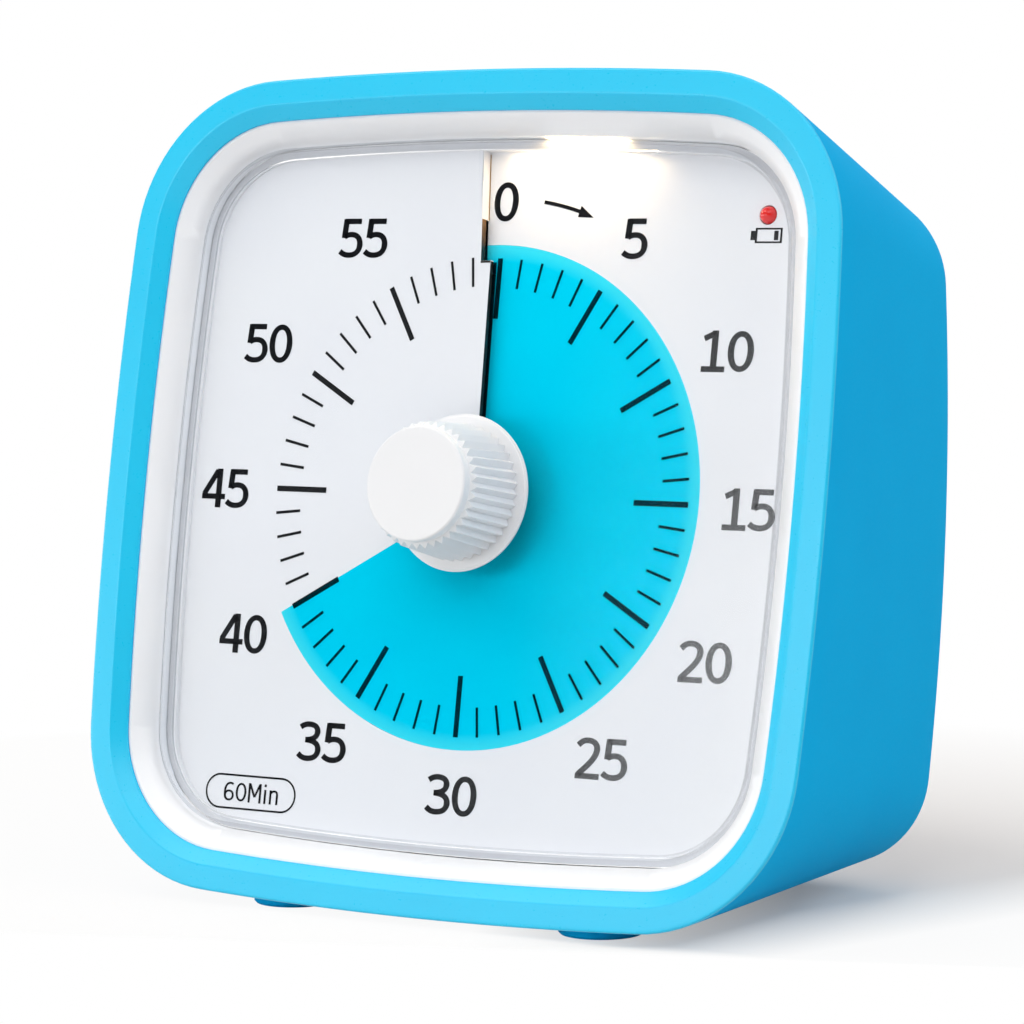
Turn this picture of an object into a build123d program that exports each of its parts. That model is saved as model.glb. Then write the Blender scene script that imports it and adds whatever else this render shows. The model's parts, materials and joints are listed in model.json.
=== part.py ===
from build123d import *
import math
import os

# Visual countdown timer: a silicone-sleeved case, a printed dial with a slit, a coloured film disc that
# winds out of the slit, and the motor movement, electronics and cells behind it.
#
# Sizes are millimetres and degrees. Everything is modelled in the case frame: X to the right, Y into the
# case, Z up along the face, with the origin at the centre of the dial. Dial angles run clockwise from the
# top, as seen from the front. The last section leans the case back and stands it on its feet.
# "Depth" is measured inwards from the rear face, which is tilted against the front.

# ------------------------------------------------------------------ driving sizes: case and sleeve
case_half_width = 55.0
case_half_height = 55.2
side_crown = 2.4            # how far each side bulges between its corners
corner_radius = 22.0
rim_front = 7.2             # the sleeve's front rim stands this far in front of the dial centre
case_depth = 52.7           # front rim to rear face, on the axis of the dial
rear_tilt = 5.9             # the rear face leans towards the front at the top
rear_inset = 8.9            # each side draws in by this much from front to rear
rear_corner_radius = 13.0
rear_rise = 1.7
lean_back = 10.0            # the case leans back on its underside

sleeve_wall = 2.0
rim_width = 3.4
mouth_bevel_width = 1.9
mouth_bevel_depth = 1.3
sleeve_front_web = 1.6
rear_lip_width = 3.5
rear_lip_thickness = 1.5
front_edge_radius = 0.4
rear_edge_radius = 1.2

foot_radius = 5.5
foot_drop = 1.0             # height of a pad under the sleeve
foot_root = 3.0             # a pad's core is cut to the sleeve from this far up
foot_chamfer = 0.3
foot_front_x = 23.6
foot_rear_x = 17.0
foot_front_y = -8.2         # in the standing frame, from below the dial's centre
foot_rear_y = 29.0

housing_gap = 0.1
housing_wall = 1.8
parting_y = 16.0
parting_gap = 0.1
tongue_length = 2.0
tongue_wall = 1.0

# ------------------------------------------------------------------ driving sizes: bezel, lens and dial
bezel_front = 5.5
bezel_flat_inset = 5.6      # where the flat front of the bezel starts to slope
lens_front = 3.5
lens_inset = 8.35           # outer edge of the lens, inwards from the sleeve's side
lens_seat_gap = 0.15
lens_thickness = 1.5
lens_wall = 1.2
lens_wall_end = -1.1        # the lens skirt ends here, just off the dial rim
lens_edge_radius = 0.8
well_wall = 1.2
web_thickness = 3.0
ledge_y = 4.0
ledge_thickness = 1.5
ledge_inset = 11.5
ledge_tab_half = 3.0        # half width of the ledge's tabs round the dial screws
seat_gap = 0.05

dial_pitch = 1.6            # the dial falls by this much from just before 60 round to 0
dial_thickness = 0.7
dial_rim_wall = 1.25
dial_rim_top = -1.0
dial_hole_radius = 7.0
slit_angle = 1.0            # the slit is cut this far before the zero mark
slot_angle = 3.8            # and this far outside the jog
slit_jog_radius = 31.0
slot_outer_radius = 36.6
step_wall = 0.6

film_radius = 33.2
film_thickness = 0.25
film_gap = 0.3
film_rest_angle = 240.0     # 40 minutes are showing
hub_radius = 4.4
hub_flat = 3.7
hub_front = -1.6
hub_end = 4.2
film_fit = 0.08

# ------------------------------------------------------------------ driving sizes: knob and shaft
knob_face = 14.85
knob_ridges = 40
knob_tip_radius = 9.0       # over the ridges, where they leave the flange
knob_ridge_height = 0.65
knob_draft = 5.0            # the ridged barrel narrows towards the face at this angle
knob_ridge_front = 13.45    # where the valleys run out
knob_shoulder = 0.45        # length of the steep cone that the ridges end on
knob_shoulder_margin = 0.05
knob_face_radius = 7.45
knob_edge_radius = 0.35
flange_radius = 10.3
flange_front = 4.4
flange_back = 3.8
knob_bore_depth = 8.0
shaft_radius = 2.0
shaft_end = 17.6
shaft_fit = 0.05
shaft_flat = 1.5
shaft_flat_gap = 0.3        # the flat ends this far in front of the lens
shaft_tip_gap = 0.2
press_gap = 0.02
lens_hole_radius = 2.5
flange_edge_radius = 0.2
clip_y = 13.4
clip_thickness = 0.6
clip_root = 1.5
clip_radius = 3.4
clip_mouth_half = 1.2
clip_play = 0.05
collar_y = 7.2
collar_radius = 4.2
bush_radius = 3.2
bush_flange_radius = 4.0
bush_flange = 0.5
spring_y = 9.7
spring_thickness = 0.3
spring_radius = 6.0
spring_window_ring = 4.6
spring_window_radius = 1.3
spring_collar_radius = 3.0

# ------------------------------------------------------------------ driving sizes: screws and their posts
small_screw_radius = 1.0
small_head_radius = 1.9
small_head_height = 1.3
screw_play = 0.15
dial_post_radius = 2.2
dial_post_z = 22.0
dial_screw_tip = 1.9
movement_screw_tip = 2.2
case_boss_radius = 4.2
case_boss_floor = 6.0
case_screw_radius = 1.4
case_screw_play = 0.2
case_screw_head_radius = 2.7
case_screw_head_height = 2.0
case_screw_tip_gap = 1.0
access_radius = 3.2
tip_gap = 0.2               # a small screw ends this far from the floor of its hole

# ------------------------------------------------------------------ driving sizes: movement
movement_half = 30.0
movement_corner = 4.0
plate_front = 5.0
plate_thickness = 2.0
movement_back = 19.0
movement_wall = 1.5
movement_floor = 1.5
movement_post_xz = 27.0
movement_post_radius = 2.5
corner_pad_radius = 3.4
gear_module = 0.3
pressure_angle = 25.0
tooth_addendum = 0.75
tooth_dedendum = 1.05
tooth_slimming = 0.10
wheel_teeth = 100
third_teeth = 60
second_teeth = 60
pinion_teeth = 10
third_angle = 45.0          # directions of the arbors, counter-clockwise from X
second_angle = 150.0
rotor_angle = 170.0
arbor_radius = 0.5
arbor_fit = 0.05
arbor_seat = 1.2
arbor_rear_seat = 0.84
output_y = 8.0
wheel_thickness = 1.5
fine_wheel_thickness = 1.0
third_wheel_y = 10.4
second_wheel_y = 12.2
magnet_y = 13.8
magnet_length = 2.2
magnet_radius = 2.6
wheel_hub_radius = 1.1
wheel_window_ring = 9.6
wheel_window_radius = 2.6
wheel_windows = 5
pinion_lead = 0.2           # a pinion starts this far before the wheel it drives, and ends so far behind
end_float = 0.3
stator_y = 14.2
stator_thickness = 1.4
rotor_air_gap = 0.5
core_half = 2.0             # half width of the core through the coil
leg_inner_x = -10.0         # inner and outer side of the leg that joins the lower pole
leg_outer_x = -14.0
leg_top_drop = 1.8
yoke_low_z = -9.5
yoke_high_z = -5.6
pole_half = 6.2
pole_split = 0.35
pole_reach = 5.3            # the stator's arms end this far past the rotor's centre
stator_post_z = 17.0
stator_post_radius = 1.6
coil_x = -19.5
coil_z = 3.0
coil_half_length = 8.0
coil_half = 2.6
bobbin_wall = 0.6
bobbin_flange_half = 4.4
bobbin_flange = 0.8
winding_half = 2.3
winding_half_width = 4.0
winding_round = 0.9
coil_fit = 0.05
coil_lead_x = 2.4
coil_lead_pitch = 1.4
coil_lead_hole = 2.0

# ------------------------------------------------------------------ driving sizes: rear of the case
panel_depth = 0.2
pocket_margin = 1.0         # between the panel's thin middle and the step of the shell's edge
cell_radius = 7.25
cell_length = 50.5
cell_pitch = 15.1
cell_depth = 9.6
cell_nub_radius = 2.6
cell_nub = 1.1
bay_half_width = 27.5
bay_half_height = 15.45
bay_floor_depth = 17.6
bay_wall = 1.2
door_half_width = 29.6
door_half_height = 17.0
door_gap = 0.3
door_thickness = 1.7
door_corner = 3.0
door_ledge = 1.6
door_margin = 4.05          # between the door and the sleeve's rear lip
door_seat_play = 0.05
door_rib_depth = 4.2
door_rib_wall = 1.0
door_rib_gap = 0.6
grip_grooves = 4
grip_pitch = 2.0
grip_half_length = 8.0
grip_depth = 0.5
contact_thickness = 0.35
contact_half = 6.2
contact_low_depth = 4.6
contact_high_depth = 15.0
spring_room = 3.6
spring_wire = 0.35          # radius of the wire
spring_coil_radius = 3.2
spring_turns = 4
tab_half = 1.5
tab_reach = 2.0
tab_depth0 = 14.0
tab_depth1 = 14.6
tab_play = 0.1
pcb_half_width = 30.0
pcb_bay_gap = 3.9           # between the battery bay and the board
pcb_top_margin = 11.5       # between the board and the sleeve's rear lip
pcb_depth = 8.0
pcb_thickness = 1.6
pcb_post_x = 26.0
pcb_post_inset = 3.6
pcb_post_radius = 2.6
pcb_screw_tip = 3.6
switch_x = 17.0
switch_from_top = 9.0
switch_wall = 0.6
slider_floor_gap = 0.3
dish_margin = 2.0
dish_half_height = 3.4
dish_depth = 0.7
slider_groove_pitch = 0.7
slider_groove_half = 0.12
slider_groove_depth = 0.2
switch_half_length = 4.6
switch_half_height = 2.1
switch_height = 3.3
slider_half_length = 1.2
slider_half_height = 0.8
slider_gap = 0.3
slider_proud = 0.5
volume_travel = 2.0         # each way from the middle position
light_travel = 2.0
buzzer_radius = 8.0
buzzer_height = 5.2
buzzer_port_radius = 1.2
buzzer_port_depth = 1.5
sound_hole_radius = 0.8
sound_rings = ((0.0, 1), (3.0, 6), (6.0, 12))  # radius and number of holes
can_edge_radius = 0.4
chip_x = -9.5
chip_half_length = 4.5
chip_half_width = 3.25
chip_thickness = 1.6
chip_standoff = 0.1
chip_pins = 7
chip_pin_pitch = 1.27
chip_pin_half = 0.2
chip_pin_reach = 1.1
chip_pin_thickness = 0.5
crystal_x = 2.0
crystal_half_length = 4.0
crystal_half_width = 1.5
crystal_height = 2.6
crystal_corner = 1.2
capacitor_x = 18.0
capacitor_radius = 2.5
capacitor_height = 7.0

# ------------------------------------------------------------------ driving sizes: lamps and leads
battery_led_radius = 1.15
battery_led_proud = 0.9
battery_led_base = 2.0
battery_led_fit = 0.1
battery_led_flange = 0.35
battery_led_flange_height = 0.8
battery_led_well_gap = 0.7
battery_led_leg_x = 0.6
battery_led_leg_radius = 0.22
led_board_thickness = 0.8
led_board_gap = 0.3
led_board_width = 6.6
led_board_height = 5.6
led_lead_x = 2.6            # the leads leave the small board this far beside the lamp
glow_x = 13.0
glow_half = 6.0
glow_window_depth = 8.0
glow_y0 = -2.3
glow_y1 = 0.3
glow_board_half = 8.0
glow_board_thickness = 0.8
glow_chip_x = 3.2
glow_chip_half = 1.4
glow_chip_length = 2.1
glow_chip_height = 1.0
glow_lens_radius = 0.8
glow_lens_height = 0.2
glow_gap = 0.1
glow_ledge_gap = 0.3
glow_notch_half = 3.4
lead_notch_half = 0.9
lead_radius = 0.45
lead_bend = 0.45            # share of the shorter run that a bend takes up

# ------------------------------------------------------------------ values that follow from them
dial_centre_depth = case_depth - rim_front
rear_plane = Plane(
    origin=(0, dial_centre_depth, 0),
    x_dir=(1, 0, 0),
    z_dir=(0, -math.cos(math.radians(rear_tilt)), -math.sin(math.radians(rear_tilt))),
)
lip_depth = rear_lip_thickness
shell_depth = lip_depth + housing_gap
inner_depth = shell_depth + housing_wall
panel_inner_depth = panel_depth + housing_wall
door_seat = panel_depth + door_thickness + door_seat_play
boss_joint_y = parting_y - tongue_length
outer_inset = sleeve_wall + housing_gap
inner_inset = outer_inset + housing_wall
lens_back = lens_front - lens_thickness
lens_inner_inset = lens_inset + lens_wall
well_inset = lens_inset - lens_seat_gap
dial_inner_inset = lens_inset + dial_rim_wall
dial_skirt_end = ledge_y - seat_gap
ledge_end = ledge_y + ledge_thickness
plate_back = plate_front + plate_thickness
movement_inner_back = movement_back - movement_floor
pcb_inner_depth = pcb_depth + pcb_thickness
panel_half_height = case_half_height - rear_inset - rear_lip_width
cells_v = rear_rise - panel_half_height + door_margin + door_half_height
cell_rows = (cells_v + cell_pitch / 2, cells_v - cell_pitch / 2)
pcb_v_low = cells_v + bay_half_height + bay_wall + pcb_bay_gap
pcb_v_high = rear_rise + panel_half_height - pcb_top_margin
pcb_v_middle = (pcb_v_low + pcb_v_high) / 2
switch_depth = pcb_depth - switch_height
switch_v = pcb_v_high - switch_from_top
buzzer_v = pcb_v_middle
chip_v = pcb_v_middle - 3.5
light_rest = light_travel / 2  # the light switch rests at its "on" end
top_screw_x = case_half_width - 21.0
bottom_screw_x = door_half_width + door_gap + access_radius + 0.9
top_screw_z = case_half_height - 16.7
bottom_screw_z = 18.7 - case_half_height
case_screw_seat_y = dial_centre_depth - 19.5
dial_post_x = case_half_width - 12.6
battery_led_x = case_half_width - 15.6
battery_led_z = case_half_height - 18.1
led_board_y = ledge_end + 0.1
glow_z = case_half_height - well_inset + well_wall + 0.1  # inner face of the strip, just off the well
FAR = 200.0
BITE = 0.2                  # joined solids overlap by this much, and cuts run this far past a face


# ------------------------------------------------------------------ small helpers
def front_plane(y):
    """Plane parallel to the dial at depth y, facing the front."""
    return Plane(origin=(0, y, 0), x_dir=(1, 0, 0), z_dir=(0, -1, 0))


def slab(x0, x1, y0, y1, z0, z1):
    """Box between two corners in the case frame."""
    return Pos((x0 + x1) / 2, (y0 + y1) / 2, (z0 + z1) / 2) * Box(x1 - x0, y1 - y0, z1 - z0)


def rod(x, z, y0, y1, radius):
    """Cylinder along the case's Y axis."""
    return Pos(x, (y0 + y1) / 2, z) * Rot(90, 0, 0) * Cylinder(radius, y1 - y0)


def rear_box(x0, x1, v0, v1, d0, d1):
    """Box on the rear face: x across, v up the face, d inwards from it."""
    return rear_plane * Pos((x0 + x1) / 2, (v0 + v1) / 2, (d0 + d1) / 2) * Box(x1 - x0, v1 - v0, d1 - d0)


def rear_rod(x, v, d0, d1, radius):
    """Cylinder square to the rear face."""
    return rear_plane * Pos(x, v, (d0 + d1) / 2) * Cylinder(radius, d1 - d0)


def crowned_square(half_width, half_height, crown, corner):
    """Square with bulging sides and round corners, as a face on XY."""
    side_r = (half_height**2 + crown**2) / (2 * crown)
    top_r = (half_width**2 + crown**2) / (2 * crown)
    side_c = Vector(half_width - side_r, 0)
    top_c = Vector(0, half_height - top_r)
    span = side_c - top_c
    gap = span.length
    reach_top = top_r - corner
    reach_side = side_r - corner
    along = (reach_top**2 - reach_side**2 + gap**2) / (2 * gap)
    across = math.sqrt(reach_top**2 - along**2)
    unit = span.normalized()
    square_on = Vector(-unit.Y, unit.X)
    both = [top_c + unit * along + square_on * across * sign for sign in (1, -1)]
    centre = max(both, key=lambda p: p.X + p.Y)
    on_side = centre + (centre - side_c).normalized() * corner
    on_top = centre + (centre - top_c).normalized() * corner
    on_corner = centre + ((on_side + on_top) * 0.5 - centre).normalized() * corner
    edges = []
    for turn in range(4):
        sx = 1 if turn in (0, 3) else -1
        sy = 1 if turn in (0, 1) else -1
        side, top, bend = [Vector(p.X * sx, p.Y * sy) for p in (on_side, on_top, on_corner)]
        mirror_side = Vector(side.X, -side.Y)
        mirror_top = Vector(-top.X, top.Y)
        edges.append(ThreePointArc(side, bend, top))
        if turn in (0, 2):
            edges.append(ThreePointArc(top, Vector(0, half_height * sy), mirror_top))
        else:
            edges.append(ThreePointArc(side, Vector(half_width * sx, 0), mirror_side))
    return make_face(edges)


def front_outline(inset):
    """The case's outline at the front rim, drawn in by inset."""
    share = 1 - inset / case_half_width
    return crowned_square(
        case_half_width - inset, case_half_height - inset, side_crown * share, corner_radius - inset
    )


def rear_outline(inset):
    """The case's outline at the rear face, drawn in by inset."""
    half_width = case_half_width - rear_inset - inset
    half_height = case_half_height - rear_inset - inset
    corner = rear_corner_radius - inset
    share = half_width / (case_half_width - rear_inset)
    return Pos(0, rear_rise) * crowned_square(half_width, half_height, side_crown * share, corner)


def front_prism(inset, y0, y1):
    """The front outline extruded straight from y0 to y1."""
    return extrude(front_plane(y1) * front_outline(inset), y1 - y0)


def rear_prism(inset, d0, d1):
    """The rear outline extruded straight inwards from depth d0 to d1."""
    return extrude(rear_plane * Pos(0, 0, d0) * rear_outline(inset), d1 - d0)


def envelope(inset):
    """The case's whole tapering body, drawn in by inset."""
    sections = [front_plane(-rim_front) * front_outline(inset), rear_plane * rear_outline(inset)]
    return loft(sections, ruled=True)


def behind(shape, y):
    return shape - slab(-FAR, FAR, -FAR, y, -FAR, FAR)


def before(shape, y):
    return shape - slab(-FAR, FAR, y, FAR, -FAR, FAR)


def inside(shape, depth):
    return shape - rear_box(-FAR, FAR, -FAR, FAR, -FAR, depth)


def pan_screw(head_radius, head_height, shank_radius, length):
    """Cross-head screw on Z: the head stands above Z=0, the shank below."""
    recess = head_radius * 1.1
    slot = head_radius * 0.28
    head = Pos(0, 0, head_height / 2) * Cylinder(head_radius, head_height)
    head = fillet(head.faces().sort_by(Axis.Z)[-1].edges(), head_height * 0.35)
    for bar in (Box(recess, slot, head_height), Box(slot, recess, head_height)):
        head -= Pos(0, 0, head_height) * bar
    shank = Pos(0, 0, -length / 2) * Cylinder(shank_radius, length)
    tip = chamfer(shank.faces().sort_by(Axis.Z)[0].edges(), shank_radius * 0.45)
    return head + tip


def facing_front(x, y, z):
    """Location whose Z points out of the front."""
    return Pos(x, y, z) * Rot(90, 0, 0)


def facing_back(x, y, z):
    """Location whose Z points out of the back."""
    return Pos(x, y, z) * Rot(-90, 0, 0)


def lead(*points):
    """Insulated wire along straight runs joined by tangent arcs."""
    runs = [(Vector(b) - Vector(a)) for a, b in zip(points, points[1:])]
    radii = []
    for one, two in zip(runs, runs[1:]):
        half_turn = math.radians(one.get_angle(two)) / 2
        radii.append(lead_bend * min(one.length, two.length) / math.tan(half_turn))
    path = FilletPolyline(*points, radius=radii)
    section = Plane(origin=path @ 0, z_dir=path % 0) * Circle(lead_radius)
    return sweep(section, path=path)


# ------------------------------------------------------------------ helical dial and film
def dial_y(angle):
    """Depth of the dial's printed surface at a dial angle."""
    return dial_pitch * (0.5 - angle / 360)


def helical_slab(inner_radius, outer_radius, start, end, front_y, thickness):
    """Slab between two radii that follows the dial's screw surface from one dial angle to another."""
    rise = dial_pitch * (end - start) / 360

    def curve(radius, drop):
        return Edge.make_helix(dial_pitch, rise, radius, center=(0, 0, -drop), lefthand=True)

    def corner(radius, angle, height):
        turn = math.radians(angle - start)
        return Vector(radius * math.cos(turn), -radius * math.sin(turn), height)

    top = [curve(inner_radius, 0), curve(outer_radius, 0)]
    low = [curve(inner_radius, thickness), curve(outer_radius, thickness)]
    faces = [
        Face.make_surface_from_curves(*top),
        Face.make_surface_from_curves(*low),
        Face.make_surface_from_curves(top[0], low[0]),
        Face.make_surface_from_curves(top[1], low[1]),
    ]
    for angle, height in ((start, 0), (end, rise)):
        ring = [
            corner(inner_radius, angle, height),
            corner(outer_radius, angle, height),
            corner(outer_radius, angle, height - thickness),
            corner(inner_radius, angle, height - thickness),
        ]
        faces.append(make_face(Polyline(*ring, close=True)).faces()[0])
    body = Solid(Shell(faces))
    ahead = math.radians(start)
    place = Plane(
        origin=(0, front_y, 0), x_dir=(math.sin(ahead), 0, math.cos(ahead)), z_dir=(0, -1, 0)
    )
    return place.location * body


def sector(start, end, inner_radius, outer_radius, y0, y1):
    """Wedge ring between two dial angles, straight through from y0 to y1."""
    def at(radius, angle):
        return (radius * math.sin(math.radians(angle)), radius * math.cos(math.radians(angle)))

    middle = (start + end) / 2
    outline = [
        Line(at(inner_radius, start), at(outer_radius, start)),
        ThreePointArc(at(outer_radius, start), at(outer_radius, middle), at(outer_radius, end)),
        Line(at(outer_radius, end), at(inner_radius, end)),
        ThreePointArc(at(inner_radius, end), at(inner_radius, middle), at(inner_radius, start)),
    ]
    return extrude(front_plane(y1) * make_face(outline), y1 - y0)


def dial_plate():
    reach = case_half_width + case_half_height
    low_y = dial_y(-slot_angle)
    sheet = helical_slab(
        dial_hole_radius, reach, -slot_angle, 360 - slit_angle, low_y, dial_thickness
    )
    middle = dial_y(180)
    low_side = sector(-slot_angle - BITE, -slit_angle, BITE, slit_jog_radius, middle, FAR)
    high_side = sector(-slot_angle, -slit_angle + BITE, slit_jog_radius, reach, -FAR, middle)
    inner = front_prism(dial_inner_inset - BITE, -FAR, FAR)
    sheet = (sheet - low_side - high_side) & inner
    step = sector(
        -slot_angle - math.degrees(step_wall / slot_outer_radius), -slot_angle,
        slot_outer_radius, reach, dial_y(360 - slot_angle), low_y + dial_thickness,
    )
    rim = front_prism(lens_inset, dial_rim_top, dial_skirt_end)
    rim -= front_prism(dial_inner_inset, -FAR, FAR)
    plate = rim + sheet + (step & inner)
    for x, z in movement_corners():
        plate += rod(x, z, dial_back_at(x, z) - BITE, plate_front - seat_gap, movement_post_radius)
        plate -= rod(x, z, movement_screw_tip, FAR, small_screw_radius + press_gap)
    for x, z in dial_post_places():
        plate += rod(x, z, dial_back_at(x, z) - BITE, dial_skirt_end, dial_post_radius)
        plate -= rod(x, z, dial_screw_tip, FAR, small_screw_radius + press_gap)
    return plate - rod(battery_led_x, battery_led_z, -FAR, ledge_y, battery_led_radius + battery_led_fit)


def dial_back_at(x, z):
    """Depth of the back of the dial sheet at a point."""
    angle = math.degrees(math.atan2(x, z)) % 360
    return dial_y(angle) + dial_thickness


def dial_post_places():
    return [(sx * dial_post_x, sz * dial_post_z) for sx in (-1, 1) for sz in (-1, 1)]


def case_screw_places():
    pairs = ((top_screw_x, top_screw_z), (bottom_screw_x, bottom_screw_z))
    return [(sx * x, z) for sx in (-1, 1) for x, z in pairs]


def countdown_disc():
    """Film disc: one turn of the dial's screw surface, lying just above the printed side."""
    start = film_rest_angle - 360
    front = dial_y(start) - film_gap - film_thickness
    film = helical_slab(hub_flat / 2, film_radius, start, film_rest_angle, front, film_thickness)
    return film - hub_bar(film_fit, -FAR, FAR)


def hub_bar(gap, y0, y1):
    """Round bar with two flats that the film slides along."""
    radius = hub_radius + gap
    flat = hub_flat + gap
    bar = rod(0, 0, y0, y1, radius)
    return bar & slab(-flat, flat, y0, y1, -radius, radius)


# ------------------------------------------------------------------ sleeve and feet
def silicone_sleeve():
    body = envelope(0)
    front_edges = body.faces().sort_by(Axis.Y)[0].edges()
    body = fillet(front_edges, front_edge_radius)
    rear_edges = body.faces().sort_by(Axis.Y)[-1].edges()
    body = fillet(rear_edges, rear_edge_radius)
    cavity = inside(behind(envelope(sleeve_wall), -rim_front + sleeve_front_web), lip_depth)
    bevel_end = rim_width + mouth_bevel_width
    bevel = loft(
        [
            front_plane(-rim_front) * front_outline(rim_width),
            front_plane(-rim_front + mouth_bevel_depth) * front_outline(bevel_end),
        ],
        ruled=True,
    )
    mouth = front_prism(bevel_end, -rim_front, 0)
    return body - cavity - bevel - mouth - rear_prism(rear_lip_width, -BITE, lip_depth + BITE)


def foot_places():
    pairs = ((foot_front_x, foot_front_y), (foot_rear_x, foot_rear_y))
    return [(sx * x, y) for sx in (-1, 1) for x, y in pairs]


# ------------------------------------------------------------------ bezel, lens
def corner_gusset(x, z):
    """Plate that joins a case boss to the walls of the bezel."""
    x0, x1 = sorted((x - math.copysign(case_boss_radius, x), math.copysign(FAR, x)))
    z0, z1 = sorted((z - math.copysign(case_boss_radius, z), math.copysign(FAR, z)))
    return slab(x0, x1, ledge_y, ledge_end, z0, z1)


def screw_tab(x, z):
    """Plate that carries the ledge out round a dial screw."""
    x0, x1 = sorted((x - math.copysign(ledge_tab_half, x), math.copysign(FAR, x)))
    return slab(x0, x1, ledge_y, ledge_end, z - ledge_tab_half, z + ledge_tab_half)


def front_bezel():
    outer = before(behind(envelope(outer_inset), -bezel_front), parting_y - parting_gap)
    room = behind(envelope(inner_inset), -bezel_front + web_thickness)
    shell = outer - room
    well = front_prism(well_inset - well_wall, -bezel_front + web_thickness - BITE, ledge_end)
    web = before(behind(envelope(inner_inset - BITE), ledge_y), ledge_end)
    bezel = shell + (well - front_prism(well_inset, -FAR, FAR))
    bezel += web - front_prism(ledge_inset, -FAR, FAR)
    for x, z in dial_post_places():
        bezel += web & screw_tab(x, z)
        bezel -= rod(x, z, ledge_y - BITE, FAR, small_screw_radius + screw_play)
    for x, z in case_screw_places():
        bezel += web & corner_gusset(x, z)
        bezel += rod(x, z, (ledge_y + ledge_end) / 2, boss_joint_y, case_boss_radius)
        bezel -= rod(x, z, case_boss_floor, FAR, case_screw_radius + press_gap)
    bevel = loft(
        [
            front_plane(-bezel_front) * front_outline(bezel_flat_inset),
            front_plane(-lens_front + BITE / 2) * front_outline(well_inset),
        ],
        ruled=True,
    )
    bezel = bezel - bevel - front_prism(well_inset, -bezel_front, ledge_y)
    lamp_hole_radius = battery_led_radius + battery_led_well_gap
    bezel -= rod(battery_led_x, battery_led_z, ledge_y - BITE, ledge_end + BITE, lamp_hole_radius)
    window = slab(
        glow_x - glow_half, glow_x + glow_half, glow_y0, glow_y1, glow_z - glow_window_depth, glow_z + BITE
    )
    lead_z = glow_z + glow_board_thickness / 2
    lead_notch = slab(
        glow_x - glow_notch_half, glow_x + glow_notch_half, ledge_y - 1, ledge_end + BITE,
        lead_z - lead_notch_half, lead_z + lead_notch_half,
    )
    return bezel - window - lead_notch


def lens():
    tray = front_prism(lens_inset, -lens_front, lens_wall_end)
    front = tray.faces().sort_by(Axis.Y)[0].edges()
    tray = fillet(front, lens_edge_radius)
    hollow = front_prism(lens_inner_inset, -lens_back, FAR)
    return tray - hollow - rod(0, 0, -FAR, 0, lens_hole_radius)


# ------------------------------------------------------------------ knob, shaft and hub
def d_bar(radius, flat, y0, y1):
    """Round bar with one flat on its upper side."""
    return rod(0, 0, y0, y1, radius) & slab(-radius, radius, y0, y1, -radius, flat)


def knob_star(distance, tip):
    """Ring of pointed ridges as a face, at a distance in front of the dial's centre."""
    points = []
    for k in range(knob_ridges):
        for share, radius in ((0, tip - knob_ridge_height), (0.5, tip)):
            angle = 2 * math.pi * (k + share) / knob_ridges
            points.append((radius * math.sin(angle), radius * math.cos(angle)))
    return front_plane(-distance) * make_face(Polyline(*points, close=True))


def knob():
    fall = math.tan(math.radians(knob_draft))
    start = flange_front - BITE
    front_tip = knob_tip_radius - (knob_ridge_front - flange_front) * fall
    ends = knob_star(start, knob_tip_radius + BITE * fall), knob_star(knob_ridge_front, front_tip)
    ridged = loft(ends, ruled=True)
    shoulder_tip = front_tip + knob_shoulder * fall + knob_shoulder_margin
    shoulder = facing_front(0, -knob_ridge_front + knob_shoulder / 2, 0) * Cone(
        shoulder_tip, knob_face_radius, knob_shoulder
    )
    ridged = ridged & (rod(0, 0, -knob_ridge_front + knob_shoulder, 0, FAR) + shoulder)
    cap = rod(0, 0, -knob_face, -flange_front, knob_face_radius)
    cap = fillet(cap.faces().sort_by(Axis.Y)[0].edges(), knob_edge_radius)
    flange = rod(0, 0, -flange_front, -flange_back, flange_radius)
    flange = fillet(flange.edges().filter_by(GeomType.CIRCLE), flange_edge_radius)
    whole = ridged + cap + flange
    bore = d_bar(shaft_radius + press_gap, shaft_flat + press_gap, -flange_back - knob_bore_depth, 0)
    return whole - bore


def shaft():
    bar = rod(0, 0, -flange_back - knob_bore_depth + shaft_tip_gap, shaft_end, shaft_radius)
    top = slab(-FAR, FAR, -FAR, -lens_front - shaft_flat_gap, shaft_flat, FAR)
    groove = rod(0, 0, clip_y - clip_play, clip_y + clip_thickness + clip_play, FAR)
    return bar - top - (groove - rod(0, 0, -FAR, FAR, clip_root))


def disc_hub():
    hub = hub_bar(0, hub_front, hub_end)
    return hub - rod(0, 0, -FAR, FAR, shaft_radius + press_gap)


def retaining_clip():
    ring = rod(0, 0, clip_y, clip_y + clip_thickness, clip_radius)
    ring -= rod(0, 0, -FAR, FAR, clip_root + press_gap)
    return ring - slab(-clip_mouth_half, clip_mouth_half, -FAR, FAR, -FAR, 0)


def shaft_bush():
    bush = rod(0, 0, plate_front, collar_y - clip_play, bush_radius)
    bush += rod(0, 0, plate_front - bush_flange, plate_front, bush_flange_radius)
    return bush - rod(0, 0, -FAR, FAR, shaft_radius + shaft_fit)


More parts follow.
